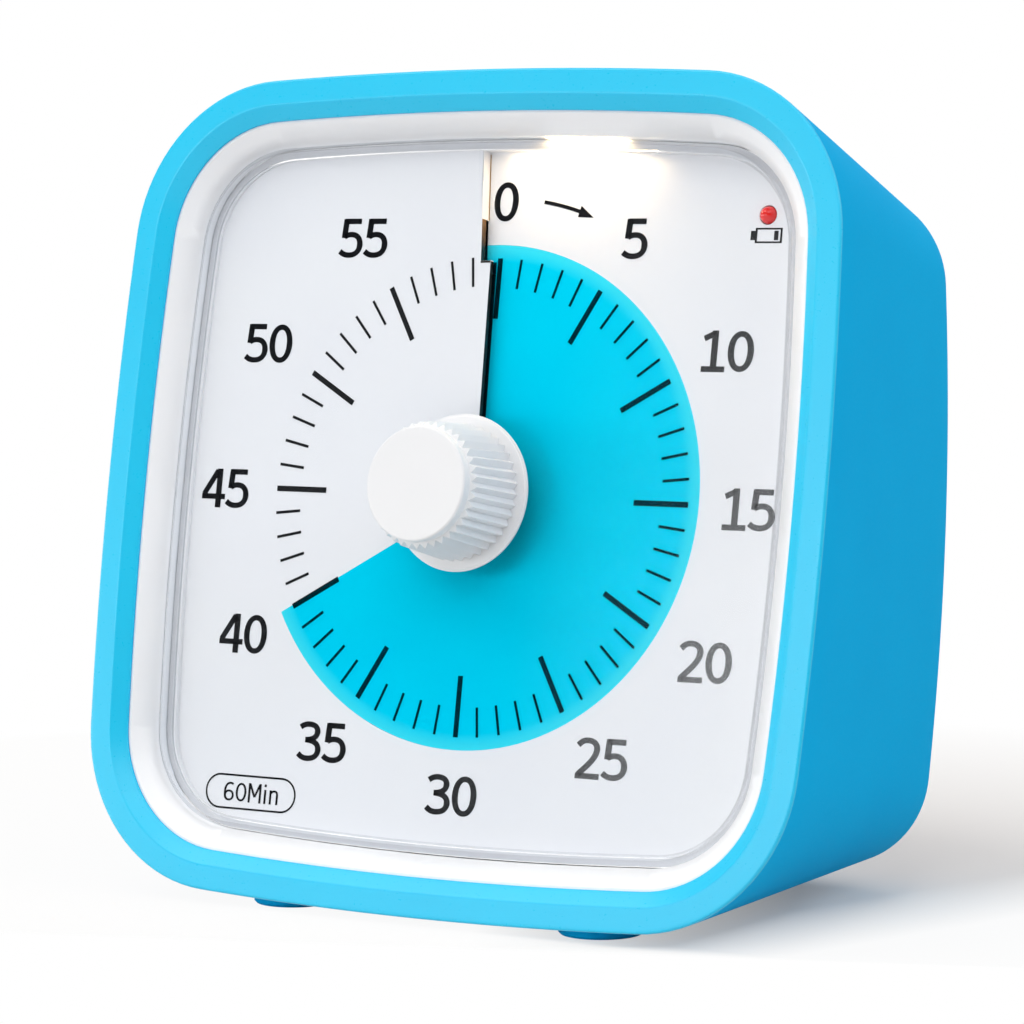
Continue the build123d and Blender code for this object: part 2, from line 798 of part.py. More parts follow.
# ------------------------------------------------------------------ gears
def gear_face(teeth, flank_steps):
    """Involute gear outline with slimmed teeth, as a face on XY with one tooth along X."""
    pitch_r = gear_module * teeth / 2
    pressure = math.radians(pressure_angle)
    base_r = pitch_r * math.cos(pressure)
    tip_r = pitch_r + tooth_addendum * gear_module
    root_r = pitch_r - tooth_dedendum * gear_module
    start_r = max(base_r, root_r + 0.02)
    half = math.pi / (2 * teeth) - tooth_slimming / (2 * pitch_r) + math.tan(pressure) - pressure
    flank = []
    for k in range(flank_steps + 1):
        radius = start_r + (tip_r - start_r) * k / flank_steps
        slope = math.acos(min(1.0, base_r / radius))
        flank.append((radius, half - (math.tan(slope) - slope)))
    side = [(root_r, flank[0][1])] + flank
    points = []
    for tooth in range(teeth):
        middle = 2 * math.pi * tooth / teeth
        for radius, angle in side:
            points.append((radius * math.cos(middle - angle), radius * math.sin(middle - angle)))
        for radius, angle in reversed(side):
            points.append((radius * math.cos(middle + angle), radius * math.sin(middle + angle)))
    return make_face(Polyline(*points, close=True))


def gear(teeth, y0, y1, x, z, phase, flank_steps=2):
    """Spur gear in the case frame; phase turns a tooth from X towards Z, in degrees."""
    face = Rot(0, 0, phase) * gear_face(teeth, flank_steps)
    return Pos(x, 0, z) * extrude(front_plane(y1) * face, y1 - y0)


def centre_distance(teeth_a, teeth_b):
    return gear_module * (teeth_a + teeth_b) / 2


def step_from(place, distance, angle):
    turn = math.radians(angle)
    return (place[0] + distance * math.cos(turn), place[1] + distance * math.sin(turn))


third_place = step_from((0, 0), centre_distance(wheel_teeth, pinion_teeth), third_angle)
second_place = step_from(third_place, centre_distance(third_teeth, pinion_teeth), second_angle)
rotor_place = step_from(second_place, centre_distance(second_teeth, pinion_teeth), rotor_angle)


def meshed_phase(angle_to_driver, teeth):
    """Phase that puts a gap, not a tooth, towards the gear it meshes with."""
    return angle_to_driver + 180 + 180 / teeth


def output_wheel():
    wheel = gear(wheel_teeth, output_y, output_y + wheel_thickness, 0, 0, third_angle, 1)
    for k in range(wheel_windows):
        x, z = step_from((0, 0), wheel_window_ring, 360 * (k + 0.5) / wheel_windows)
        wheel -= rod(x, z, -FAR, FAR, wheel_window_radius)
    wheel += rod(0, 0, collar_y, output_y, collar_radius)
    return wheel - rod(0, 0, -FAR, FAR, shaft_radius + shaft_fit)


def clutch_spring():
    """Three-window washer with a collar, which the clip holds against the output wheel."""
    spring = rod(0, 0, spring_y, spring_y + spring_thickness, spring_radius)
    for k in range(3):
        x, z = step_from((0, 0), spring_window_ring, 120 * k)
        spring -= rod(x, z, -FAR, FAR, spring_window_radius)
    spring += rod(0, 0, spring_y, clip_y - 2 * clip_play, spring_collar_radius)
    return spring - rod(0, 0, -FAR, FAR, shaft_radius + press_gap)


def geared_arbor_wheel(place, teeth, wheel_y, pinion_y, hub_end_y, wheel_phase, pinion_phase):
    """Wheel and pinion moulded in one piece, running on a fixed arbor."""
    x, z = place
    wheel_end = wheel_y + fine_wheel_thickness
    wheel = gear(teeth, wheel_y, wheel_end, x, z, wheel_phase, 1)
    pinion_end = pinion_y + wheel_thickness + 2 * pinion_lead
    pinion = gear(pinion_teeth, pinion_y, pinion_end, x, z, pinion_phase, 3)
    foot = rod(x, z, plate_back + end_float, pinion_y + BITE, wheel_hub_radius)
    hub = rod(x, z, pinion_end - BITE, hub_end_y, wheel_hub_radius)
    return wheel + pinion + foot + hub - rod(x, z, -FAR, FAR, arbor_radius + arbor_fit)


def third_wheel():
    return geared_arbor_wheel(
        third_place, third_teeth, third_wheel_y, output_y - pinion_lead, movement_inner_back - end_float,
        second_angle, meshed_phase(third_angle, pinion_teeth),
    )


def second_wheel():
    return geared_arbor_wheel(
        second_place, second_teeth, second_wheel_y, third_wheel_y - pinion_lead,
        movement_inner_back - end_float, rotor_angle, meshed_phase(second_angle, pinion_teeth),
    )


def rotor_pinion():
    x, z = rotor_place
    phase = meshed_phase(rotor_angle, pinion_teeth)
    pinion = gear(pinion_teeth, second_wheel_y - pinion_lead, magnet_y, x, z, phase, 3)
    sleeve = rod(x, z, plate_back + end_float, second_wheel_y - pinion_lead + BITE, wheel_hub_radius)
    core = rod(x, z, magnet_y - BITE, movement_inner_back - end_float, wheel_hub_radius)
    return pinion + sleeve + core - rod(x, z, -FAR, FAR, arbor_radius + arbor_fit)


def rotor_magnet():
    x, z = rotor_place
    ring = rod(x, z, magnet_y, magnet_y + magnet_length, magnet_radius)
    return ring - rod(x, z, -FAR, FAR, wheel_hub_radius + press_gap)


def wheel_arbors():
    pins = []
    for x, z in (third_place, second_place, rotor_place):
        pins.append(rod(x, z, plate_back - arbor_seat, movement_inner_back + arbor_rear_seat, arbor_radius))
    return Compound(pins)


# ------------------------------------------------------------------ movement frame and motor
def rounded_plate(half, corner, y0, y1):
    face = RectangleRounded(2 * half, 2 * half, corner)
    return extrude(front_plane(y1) * face, y1 - y0)


def movement_corners():
    reach = movement_post_xz
    return [(sx * reach, sz * reach) for sx in (-1, 1) for sz in (-1, 1)]


def movement_front_plate():
    plate = rounded_plate(movement_half, movement_corner, plate_front, plate_back)
    plate -= rod(0, 0, -FAR, FAR, bush_radius + press_gap)
    for x, z in movement_corners():
        plate -= rod(x, z, -FAR, FAR, small_screw_radius + screw_play)
    for x, z in (third_place, second_place, rotor_place):
        plate -= rod(x, z, plate_back - arbor_seat, FAR, arbor_radius + press_gap)
    return plate


def movement_case():
    """Rear cover of the movement: a tray that carries the far ends of the arbors."""
    tray = rounded_plate(movement_half, movement_corner, plate_back, movement_back)
    tray -= rounded_plate(movement_half - movement_wall, movement_corner - movement_wall,
                          plate_back, movement_inner_back)
    for x, z in movement_corners():
        pad = rod(x, z, plate_back, movement_back, corner_pad_radius)
        tray += pad & rounded_plate(movement_half, movement_corner, plate_back, movement_back)
    for x, z in movement_corners():
        tray -= rod(x, z, -FAR, FAR, small_screw_radius + screw_play)
    for x, z in (third_place, second_place, rotor_place):
        tray -= rod(x, z, -FAR, movement_inner_back + arbor_rear_seat, arbor_radius + press_gap)
    tray -= rod(0, 0, -FAR, FAR, shaft_radius + shaft_fit)
    tray += rod(coil_x, stator_post_z, stator_y + stator_thickness, movement_back, stator_post_radius)
    return tray - rod(coil_x + coil_lead_x, coil_z, stator_y, FAR, coil_lead_hole)


def stator():
    """Laminated stator: two pole arms beside the rotor and the core through the coil."""
    y0 = stator_y
    y1 = stator_y + stator_thickness
    x, z = rotor_place
    upper_pole = slab(coil_x - core_half, x + pole_reach, y0, y1, z + pole_split, z + pole_half)
    lower_pole = slab(leg_inner_x - BITE, x + pole_reach, y0, y1, z - pole_half, z - pole_split)
    leg = slab(leg_outer_x, leg_inner_x, y0, y1, yoke_low_z, z - leg_top_drop)
    yoke = slab(coil_x - core_half, leg_inner_x, y0, y1, yoke_low_z, yoke_high_z)
    core = slab(coil_x - core_half, coil_x + core_half, y0, y1, yoke_low_z, z + pole_half)
    body = upper_pole + lower_pole + leg + yoke + core
    return body - rod(x, z, -FAR, FAR, magnet_radius + rotor_air_gap)


def coil_bobbin():
    y_mid = stator_y + stator_thickness / 2
    tube_x = core_half + bobbin_wall
    tube_y = stator_thickness / 2 + bobbin_wall
    z0 = coil_z - coil_half_length
    z1 = coil_z + coil_half_length
    body = slab(coil_x - tube_x, coil_x + tube_x, y_mid - tube_y, y_mid + tube_y, z0, z1)
    flange_x = bobbin_flange_half
    for z in (z0, z1 - bobbin_flange):
        body += slab(
            coil_x - flange_x, coil_x + flange_x, y_mid - coil_half, y_mid + coil_half, z, z + bobbin_flange
        )
    hole_x = core_half + coil_fit
    hole_y = stator_thickness / 2 + coil_fit
    return body - slab(coil_x - hole_x, coil_x + hole_x, y_mid - hole_y, y_mid + hole_y, z0, z1)


def coil_winding():
    y_mid = stator_y + stator_thickness / 2
    z0 = coil_z - coil_half_length + bobbin_flange + coil_fit
    z1 = coil_z + coil_half_length - bobbin_flange - coil_fit
    half_x = winding_half_width
    body = slab(coil_x - half_x, coil_x + half_x, y_mid - winding_half, y_mid + winding_half, z0, z1)
    body = fillet(body.edges().filter_by(Axis.Z), winding_round)
    gap_x = core_half + bobbin_wall + coil_fit
    gap_y = stator_thickness / 2 + bobbin_wall + coil_fit
    return body - slab(coil_x - gap_x, coil_x + gap_x, y_mid - gap_y, y_mid + gap_y, z0, z1)


def movement_screws():
    """Long screws from behind through cover and plate into the dial's posts."""
    length = movement_back - movement_screw_tip - tip_gap
    screw = pan_screw(small_head_radius, small_head_height, small_screw_radius, length)
    return Compound([facing_back(x, movement_back, z) * screw for x, z in movement_corners()])


def dial_screws():
    length = ledge_end - dial_screw_tip - tip_gap
    screw = pan_screw(small_head_radius, small_head_height, small_screw_radius, length)
    return Compound([facing_back(x, ledge_end, z) * screw for x, z in dial_post_places()])


# ------------------------------------------------------------------ rear housing and battery bay
def rear_housing():
    shell = inside(behind(envelope(outer_inset), parting_y), shell_depth)
    panel = rear_prism(rear_lip_width + housing_gap, panel_depth, inner_depth)
    tongue = before(behind(envelope(inner_inset - BITE), parting_y), parting_y + tongue_length)
    tongue += before(behind(envelope(inner_inset + housing_gap), boss_joint_y), parting_y + BITE)
    tongue -= envelope(inner_inset + tongue_wall)
    room = inside(behind(envelope(inner_inset), parting_y), inner_depth)
    pocket_inset = rear_lip_width + housing_wall + pocket_margin
    pocket = rear_prism(pocket_inset, panel_inner_depth, inner_depth + BITE)
    body = shell + panel - room - pocket + tongue
    bay_low = cells_v - bay_half_height
    bay_high = cells_v + bay_half_height
    tub = rear_box(
        -bay_half_width - bay_wall, bay_half_width + bay_wall,
        bay_low - bay_wall, bay_high + bay_wall, panel_inner_depth - BITE, bay_floor_depth + bay_wall,
    )
    frame_x = door_half_width + door_gap + door_ledge
    frame_v = door_half_height + door_gap + door_ledge
    frame = rear_box(
        -frame_x, frame_x, cells_v - frame_v, cells_v + frame_v,
        panel_inner_depth - BITE, door_seat + door_ledge,
    )
    body += tub + frame
    for x, z in case_screw_places():
        tube = rod(x, z, boss_joint_y + parting_gap, FAR, case_boss_radius)
        body += tube & inside(envelope(inner_inset - BITE), panel_inner_depth - BITE)
    for x, v in pcb_post_places():
        body += rear_rod(x, v, panel_inner_depth - BITE, pcb_depth - seat_gap, pcb_post_radius)
    for x, z in case_screw_places():
        body -= rod(x, z, case_screw_seat_y, FAR, access_radius)
        body -= rod(x, z, -FAR, FAR, case_screw_radius + case_screw_play)
    for x, v in pcb_post_places():
        body -= rear_rod(x, v, pcb_screw_tip, FAR, small_screw_radius + press_gap)
    bay = rear_box(-bay_half_width, bay_half_width, bay_low, bay_high, -BITE, bay_floor_depth)
    recess = door_plate(door_gap, -BITE, door_seat)
    body = body - bay - recess - rear_openings()
    for v in cell_rows:
        body -= rear_box(
            -bay_half_width - bay_wall - BITE, -bay_half_width + BITE,
            v - tab_half - tab_play, v + tab_half + tab_play, tab_depth0, tab_depth1,
        )
    return body


def pcb_post_places():
    low = pcb_v_low + pcb_post_inset
    high = pcb_v_high - pcb_post_inset
    return [(sx * pcb_post_x, v) for sx in (-1, 1) for v in (low, high)]


def door_plate(gap, d0, d1):
    face = RectangleRounded(
        2 * (door_half_width + gap), 2 * (door_half_height + gap), door_corner + gap
    )
    return extrude(rear_plane * Pos(0, cells_v, d0) * face, d1 - d0)


def slot_half_length(travel):
    return slider_half_length + travel + slider_gap


def rear_openings():
    """Slots for the two sliders, their finger recesses and the holes over the buzzer."""
    cuts = []
    for x, travel in ((-switch_x, volume_travel), (switch_x, light_rest)):
        half = slot_half_length(travel)
        slot_v = slider_half_height + slider_gap
        cuts.append(rear_box(x - half, x + half, switch_v - slot_v, switch_v + slot_v, -BITE, pcb_depth))
        dish_x = half + dish_margin
        dish = rear_box(
            x - dish_x, x + dish_x, switch_v - dish_half_height, switch_v + dish_half_height,
            -BITE, panel_depth + dish_depth,
        )
        cuts.append(fillet(dish.edges().filter_by(lambda e: abs((e % 0).Y) > 0.9), dish_margin))
    for ring, count in sound_rings:
        for k in range(count):
            turn = 2 * math.pi * k / count
            x, v = ring * math.cos(turn), buzzer_v + ring * math.sin(turn)
            cuts.append(rear_rod(x, v, -BITE, panel_inner_depth + BITE, sound_hole_radius))
    return cuts


def battery_door():
    door = door_plate(0, panel_depth, panel_depth + door_thickness)
    for k in range(grip_grooves):
        v = cells_v + door_half_height - grip_pitch * (k + 2)
        door -= rear_box(
            -grip_half_length, grip_half_length, v - grip_pitch / 4, v + grip_pitch / 4,
            -BITE, panel_depth + grip_depth,
        )
    rib_x = bay_half_width - door_rib_gap
    rib_v = bay_half_height - door_rib_gap
    hollow_x = rib_x - door_rib_wall
    hollow_v = rib_v - door_rib_wall
    rib_root = panel_depth + door_thickness - BITE
    ribs = rear_box(-rib_x, rib_x, cells_v - rib_v, cells_v + rib_v, rib_root, door_rib_depth)
    ribs -= rear_box(-hollow_x, hollow_x, cells_v - hollow_v, cells_v + hollow_v, 0, FAR)
    for v in cell_rows:
        ribs -= rear_rod_x(v, cell_radius + door_gap)
    return door + ribs


def rear_rod_x(v, radius, x0=-bay_half_width, x1=bay_half_width, depth=cell_depth):
    """Cylinder across the rear of the case, along X."""
    bar = Rot(0, 90, 0) * Cylinder(radius, x1 - x0)
    return rear_plane * Pos((x0 + x1) / 2, v, depth) * bar


def cell_span(row):
    """Ends of a cell's body: each cell stands off its spring, and the two lie opposite ways."""
    minus_end = -bay_half_width + spring_room
    plus_end = minus_end + cell_length
    return (minus_end, plus_end) if row == 0 else (-plus_end, -minus_end)


def aa_cells():
    cells = []
    for row, v in enumerate(cell_rows):
        x0, x1 = cell_span(row)
        can = (x0, x1 - cell_nub) if row == 0 else (x0 + cell_nub, x1)
        cells.append(rear_rod_x(v, cell_radius, *can) + rear_rod_x(v, cell_nub_radius, x0, x1))
    return Compound(cells)


def end_plate(side, v0, v1, tab_v=None):
    """Nickel-plated contact plate in the end of the bay, with an optional tab through the wall."""
    x_wall = side * (bay_half_width - seat_gap)
    x0, x1 = sorted((x_wall, x_wall - side * contact_thickness))
    plate = rear_box(x0, x1, v0, v1, contact_low_depth, contact_high_depth)
    if tab_v is not None:
        t0, t1 = sorted((x_wall - side * BITE, side * (bay_half_width + bay_wall + tab_reach)))
        plate += rear_box(
            t0, t1, tab_v - tab_half, tab_v + tab_half, tab_depth0 + tab_play, tab_depth1 - tab_play
        )
    return plate


def battery_plates():
    """The bridge plate at one end and the two separate plates at the other."""
    upper, lower = cell_rows
    bridge = end_plate(1, lower - contact_half, upper + contact_half)
    plates = [bridge]
    for v in cell_rows:
        plates.append(end_plate(-1, v - contact_half, v + contact_half, v))
    return Compound(plates)


def coil_spring(start_x, end_x, v):
    """Contact spring on its plate, pressed against the cell's flat end."""
    length = abs(end_x - start_x) - 2 * spring_wire
    path = Edge.make_helix(length / spring_turns, length, spring_coil_radius)
    section = Plane(origin=path @ 0, z_dir=path % 0) * Circle(spring_wire)
    coil = sweep(section, path=path, is_frenet=True)
    way = 1 if end_x > start_x else -1
    place = rear_plane * Pos(start_x + way * spring_wire, v, cell_depth) * Rot(0, 90 * way, 0)
    return place * coil


def battery_springs():
    upper, lower = cell_rows
    low_end = cell_span(0)[0]
    high_end = cell_span(1)[1]
    wall = bay_half_width - seat_gap - contact_thickness - press_gap
    return Compound([
        *coil_spring(-wall, low_end - press_gap, upper).solids(),
        *coil_spring(wall, high_end + press_gap, lower).solids(),
    ])


# ------------------------------------------------------------------ electronics
def main_pcb():
    board = rear_box(-pcb_half_width, pcb_half_width, pcb_v_low, pcb_v_high, pcb_depth, pcb_inner_depth)
    for x, v in pcb_post_places():
        board -= rear_rod(x, v, 0, FAR, small_screw_radius + screw_play)
    return board


def pcb_screws():
    length = pcb_inner_depth - pcb_screw_tip - tip_gap
    screw = pan_screw(small_head_radius, small_head_height, small_screw_radius, length)
    return Compound([
        rear_plane * Pos(x, v, pcb_inner_depth) * screw for x, v in pcb_post_places()
    ])


def controller_chip():
    seat = pcb_inner_depth + chip_standoff
    body = rear_box(
        chip_x - chip_half_length, chip_x + chip_half_length, chip_v - chip_half_width,
        chip_v + chip_half_width, seat, seat + chip_thickness,
    )
    for k in range(chip_pins):
        x = chip_x + (k - (chip_pins - 1) / 2) * chip_pin_pitch
        for way in (-1, 1):
            v0, v1 = sorted((chip_v + way * (chip_half_width - BITE),
                             chip_v + way * (chip_half_width + chip_pin_reach)))
            body += rear_box(
                x - chip_pin_half, x + chip_pin_half, v0, v1, pcb_inner_depth,
                pcb_inner_depth + chip_pin_thickness,
            )
    return body


def crystal():
    can = rear_box(
        crystal_x - crystal_half_length, crystal_x + crystal_half_length, chip_v - crystal_half_width,
        chip_v + crystal_half_width, pcb_inner_depth, pcb_inner_depth + crystal_height,
    )
    return fillet(can.edges().filter_by(lambda e: abs((e % 0).Y) > 0.9), crystal_corner)


def capacitor():
    can = rear_rod(
        capacitor_x, chip_v, pcb_inner_depth, pcb_inner_depth + capacitor_height, capacitor_radius
    )
    return fillet(can.edges().filter_by(GeomType.CIRCLE), can_edge_radius)


def buzzer():
    top_depth = pcb_depth - buzzer_height
    can = rear_rod(0, buzzer_v, top_depth, pcb_depth, buzzer_radius)
    can = fillet(can.edges().filter_by(GeomType.CIRCLE), can_edge_radius)
    return can - rear_rod(0, buzzer_v, 0, top_depth + buzzer_port_depth, buzzer_port_radius)


def switch_body(x, travel):
    """Metal can of a slide switch, open towards the rear face for its slider."""
    can = rear_box(
        x - switch_half_length, x + switch_half_length, switch_v - switch_half_height,
        switch_v + switch_half_height, switch_depth, pcb_depth,
    )
    room_x = slot_half_length(travel) + BITE
    room_v = slider_half_height + slider_gap
    return can - rear_box(
        x - room_x, x + room_x, switch_v - room_v, switch_v + room_v, 0, pcb_depth - switch_wall
    )


def slider(x):
    """Slider that rides in the switch body and stands through the rear wall."""
    bar = rear_box(
        x - slider_half_length, x + slider_half_length, switch_v - slider_half_height,
        switch_v + slider_half_height, panel_depth - slider_proud, pcb_depth - switch_wall - slider_floor_gap,
    )
    for k in (-1, 0, 1):
        groove_x = x + slider_groove_pitch * k
        bar -= rear_box(
            groove_x - slider_groove_half, groove_x + slider_groove_half, switch_v - slider_half_height,
            switch_v + slider_half_height, -FAR, panel_depth - slider_proud + slider_groove_depth,
        )
    return bar


def night_light_board():
    """Strip that lies on top of the bezel's well and looks down over the dial."""
    return slab(
        glow_x - glow_board_half, glow_x + glow_board_half, glow_y0 + glow_gap, ledge_y - glow_ledge_gap,
        glow_z, glow_z + glow_board_thickness,
    )


def night_light_leds():
    z = glow_z - glow_chip_height
    y = glow_y0 + glow_ledge_gap
    chips = []
    for x in (glow_x - glow_chip_x, glow_x + glow_chip_x):
        chip = slab(x - glow_chip_half, x + glow_chip_half, y, y + glow_chip_length, z, z + glow_chip_height)
        lamp = Pos(x, y + glow_chip_length / 2, z) * Cylinder(glow_lens_radius, 2 * glow_lens_height)
        chips.append(chip + lamp)
    return Compound(chips)


def low_battery_led():
    """Round red lamp that stands up through the dial, with its two legs."""
    x, z = battery_led_x, battery_led_z
    face = dial_y(math.degrees(math.atan2(x, z)))
    back = face + dial_thickness
    dome_y = face - battery_led_proud + battery_led_radius
    base_y = back + battery_led_base
    body = rod(x, z, dome_y, base_y, battery_led_radius) + Pos(x, dome_y, z) * Sphere(battery_led_radius)
    flange_y = back + battery_led_fit
    body += rod(x, z, flange_y, flange_y + battery_led_flange_height, battery_led_radius + battery_led_flange)
    for dx in (-battery_led_leg_x, battery_led_leg_x):
        leg_end = led_board_y + led_board_thickness / 2
        body += rod(x + dx, z, base_y - BITE, leg_end, battery_led_leg_radius)
    return body


def led_board():
    x0 = top_screw_x + case_boss_radius + led_board_gap
    board = slab(
        x0, x0 + led_board_width, led_board_y, led_board_y + led_board_thickness,
        battery_led_z - led_board_height / 2, battery_led_z + led_board_height / 2,
    )
    for dx in (-battery_led_leg_x, battery_led_leg_x):
        board -= rod(battery_led_x + dx, battery_led_z, -FAR, FAR, battery_led_leg_radius + press_gap)
    return board


# ------------------------------------------------------------------ leads between the boards
def in_case(x, v, depth):
    """Point given on the rear face and inwards from it, in the case frame."""
    return tuple(rear_plane.from_local_coords((x, v, depth)))


def landing(x, v, height):
    """Last run of a lead: square down onto the inner face of the main board."""
    return in_case(x, v, pcb_inner_depth + height), in_case(x, v, pcb_inner_depth)


def pair_of_leads(route, pitch):
    """Two leads side by side; route gives the points of one from its shift off the middle."""
    return Compound([lead(*route(dx)).solids()[0] for dx in (-pitch / 2, pitch / 2)])


def night_light_leads():
    """From the back edge of the light strip, over the movement, to the top of the main board."""
    y0 = ledge_y - glow_ledge_gap
    z0 = glow_z + glow_board_thickness / 2

    def route(dx):
        x = glow_x + dx
        over = (x, y0, z0), (x, y0 + 2.2, z0), (x, y0 + 15, z0 - 4.7), (x, y0 + 24, z0 - 10.7)
        return *over, *landing(x, pcb_v_high - 2.5, 5)

    return pair_of_leads(route, 2.0)


def low_battery_leads():
    """From the small board behind the lamp, past the case boss, to the side of the main board."""
    x0 = battery_led_x + led_lead_x
    y0 = led_board_y + led_board_thickness
    end_x = pcb_half_width - 3.0

    def route(dz):
        z = battery_led_z + dz
        return (
            (x0, y0, z), (x0, y0 + 7, z), (x0 - 1.5, y0 + 15, z - 3.5), (top_screw_x - 1, y0 + 20.2, z - 9),
            *landing(end_x, switch_v + dz, 4),
        )

    return pair_of_leads(route, 2.0)


def battery_leads():
    """From the contact tabs, up beside the bay, to the lower edge of the main board."""
    tab_x = -bay_half_width - bay_wall - tab_reach / 2
    face = tab_depth1 - tab_play
    wires = []
    for v, climb, end_x in ((cell_rows[0], 2.6, -23.0), (cell_rows[1], 4.4, -21.0)):
        wires.append(lead(
            in_case(tab_x, v, face), in_case(tab_x, v, face + climb),
            in_case(tab_x, pcb_v_low + 2.0, face + climb), *landing(end_x, pcb_v_low + 8.2, 3.6),
        ).solids()[0])
    return Compound(wires)


def coil_leads():
    """From the winding, out through the movement's cover, to the lower edge of the main board."""
    x0 = coil_x + coil_lead_x
    back = stator_y + stator_thickness / 2 + winding_half

    def route(dx):
        x, z = x0 + dx, coil_z + dx
        return (x, back, z), (x, movement_back + 3.5, z), *landing(x + 1, pcb_v_low + 4.7 + dx, 4)

    return pair_of_leads(route, coil_lead_pitch)


def case_screws():
    length = case_screw_seat_y - case_boss_floor - case_screw_tip_gap
    screw = pan_screw(case_screw_head_radius, case_screw_head_height, case_screw_radius, length)
    return Compound([facing_back(x, case_screw_seat_y, z) * screw for x, z in case_screw_places()])


# ------------------------------------------------------------------ all pieces, in the case frame
pieces = {
    "silicone_sleeve": silicone_sleeve(),
    "front_bezel": front_bezel(),
    "lens": lens(),
    "dial_plate": dial_plate(),
    "dial_screws": dial_screws(),
    "countdown_disc": countdown_disc(),
    "disc_hub": disc_hub(),
    "knob": knob(),
    "shaft": shaft(),
    "shaft_bush": shaft_bush(),
    "retaining_clip": retaining_clip(),
    "clutch_spring": clutch_spring(),
    "output_wheel": output_wheel(),
    "third_wheel": third_wheel(),
    "second_wheel": second_wheel(),
    "rotor_pinion": rotor_pinion(),
    "rotor_magnet": rotor_magnet(),
    "wheel_arbors": wheel_arbors(),
    "movement_front_plate": movement_front_plate(),
    "movement_case": movement_case(),
    "movement_screws": movement_screws(),
    "stator": stator(),
    "coil_bobbin": coil_bobbin(),
    "coil_winding": coil_winding(),
    "coil_leads": coil_leads(),
    "rear_housing": rear_housing(),
    "case_screws": case_screws(),
    "battery_door": battery_door(),
    "aa_cells": aa_cells(),
    "battery_plates": battery_plates(),
    "battery_springs": battery_springs(),
    "battery_leads": battery_leads(),
    "main_pcb": main_pcb(),
    "pcb_screws": pcb_screws(),
    "controller_chip": controller_chip(),
    "crystal": crystal(),
    "capacitor": capacitor(),
    "buzzer": buzzer(),
    "volume_switch": switch_body(-switch_x, volume_travel),
    "volume_slider": slider(-switch_x),
    "light_switch": switch_body(switch_x, light_travel / 2),
    "light_slider": slider(switch_x + light_rest),
    "night_light_board": night_light_board(),
    "night_light_leds": night_light_leds(),
    "night_light_leads": night_light_leads(),
    "low_battery_led": low_battery_led(),
    "led_board": led_board(),
    "low_battery_leads": low_battery_leads(),
}

# ------------------------------------------------------------------ lean back, add the feet, stand on Z=0
lean = Rot(-lean_back, 0, 0)
leaned_body = lean * envelope(0)
sole_z = leaned_body.bounding_box().min.Z
ground_z = sole_z - foot_drop
feet = []
for x, y in foot_places():
    height = foot_drop + foot_root
    pad = Pos(x, y, ground_z + height / 2) * Cylinder(foot_radius, height)
    pad = chamfer(pad.faces().sort_by(Axis.Z)[0].edges(), foot_chamfer)
    feet.append((pad - leaned_body).solids()[0])

standing = {name: lean * shape for name, shape in pieces.items()}
standing["feet"] = Compound(feet)

whole = Compound([solid for shape in standing.values() for solid in shape.solids()]).bounding_box()
place = Pos(0, -(whole.min.Y + whole.max.Y) / 2, -ground_z)

os.makedirs("parts", exist_ok=True)
for name, shape in standing.items():
    export_step(place * shape, f"parts/{name}.step")

dial_centre = place.position
print("dial centre stands at", [round(v, 4) for v in dial_centre])
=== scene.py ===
import json
import math

import bmesh
import bpy
from mathutils import Matrix, Vector


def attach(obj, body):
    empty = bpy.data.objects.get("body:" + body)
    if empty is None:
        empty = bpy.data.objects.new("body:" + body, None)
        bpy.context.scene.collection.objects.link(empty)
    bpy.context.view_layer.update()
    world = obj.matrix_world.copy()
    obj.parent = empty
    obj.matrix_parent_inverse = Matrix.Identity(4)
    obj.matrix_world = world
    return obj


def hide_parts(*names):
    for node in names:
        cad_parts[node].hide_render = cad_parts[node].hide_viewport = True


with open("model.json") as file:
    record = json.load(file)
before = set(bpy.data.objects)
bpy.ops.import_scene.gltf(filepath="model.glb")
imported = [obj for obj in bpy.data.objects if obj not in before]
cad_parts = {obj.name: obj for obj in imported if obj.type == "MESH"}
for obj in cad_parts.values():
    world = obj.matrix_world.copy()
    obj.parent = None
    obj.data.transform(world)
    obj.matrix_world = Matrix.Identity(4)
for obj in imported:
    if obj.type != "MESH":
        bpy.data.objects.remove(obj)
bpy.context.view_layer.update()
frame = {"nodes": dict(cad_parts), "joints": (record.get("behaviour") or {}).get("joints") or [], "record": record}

nodes = frame["nodes"]
scene = bpy.context.scene
MM = 0.001

# ---------------------------------------------------------------- sizes, in millimetres and degrees
# The case frame: X to the right, Y into the case, Z up the face, origin at the centre of the dial.
HALF_WIDTH = 55.0
HALF_HEIGHT = 55.2
# how far each side bulges in its middle
CROWN = 2.4
CORNER = 22.0
# the front rim's plane and the foot of the rear face, which leans
RIM_Y = -7.2
REAR_Y = 45.5
CASE_DEPTH = REAR_Y - RIM_Y
REAR_TILT = 5.9
REAR_INSET = 8.9
REAR_CORNER = 13.0
REAR_RISE = 1.7
# back of the sleeve's rolled front lip, and the wall of the sleeve
LIP_BACK_Y = -5.56
SLEEVE_WALL = 2.03
# the dial falls by this much in one turn
DIAL_PITCH = 1.6
# the slit lies just before 0; outside the jog, where the film winds in, it widens to the slot
SLIT_ANGLE = 1.0
SLOT_ANGLE = 3.8
SLIT_JOG = 31.0
SLOT_OUTER = 36.6
FILM_RADIUS = 33.2
# where the film's leading edge stands at rest: 40 minutes
FILM_REST = 240.0
# ink stands this far off the dial
INK_LIFT = 0.03

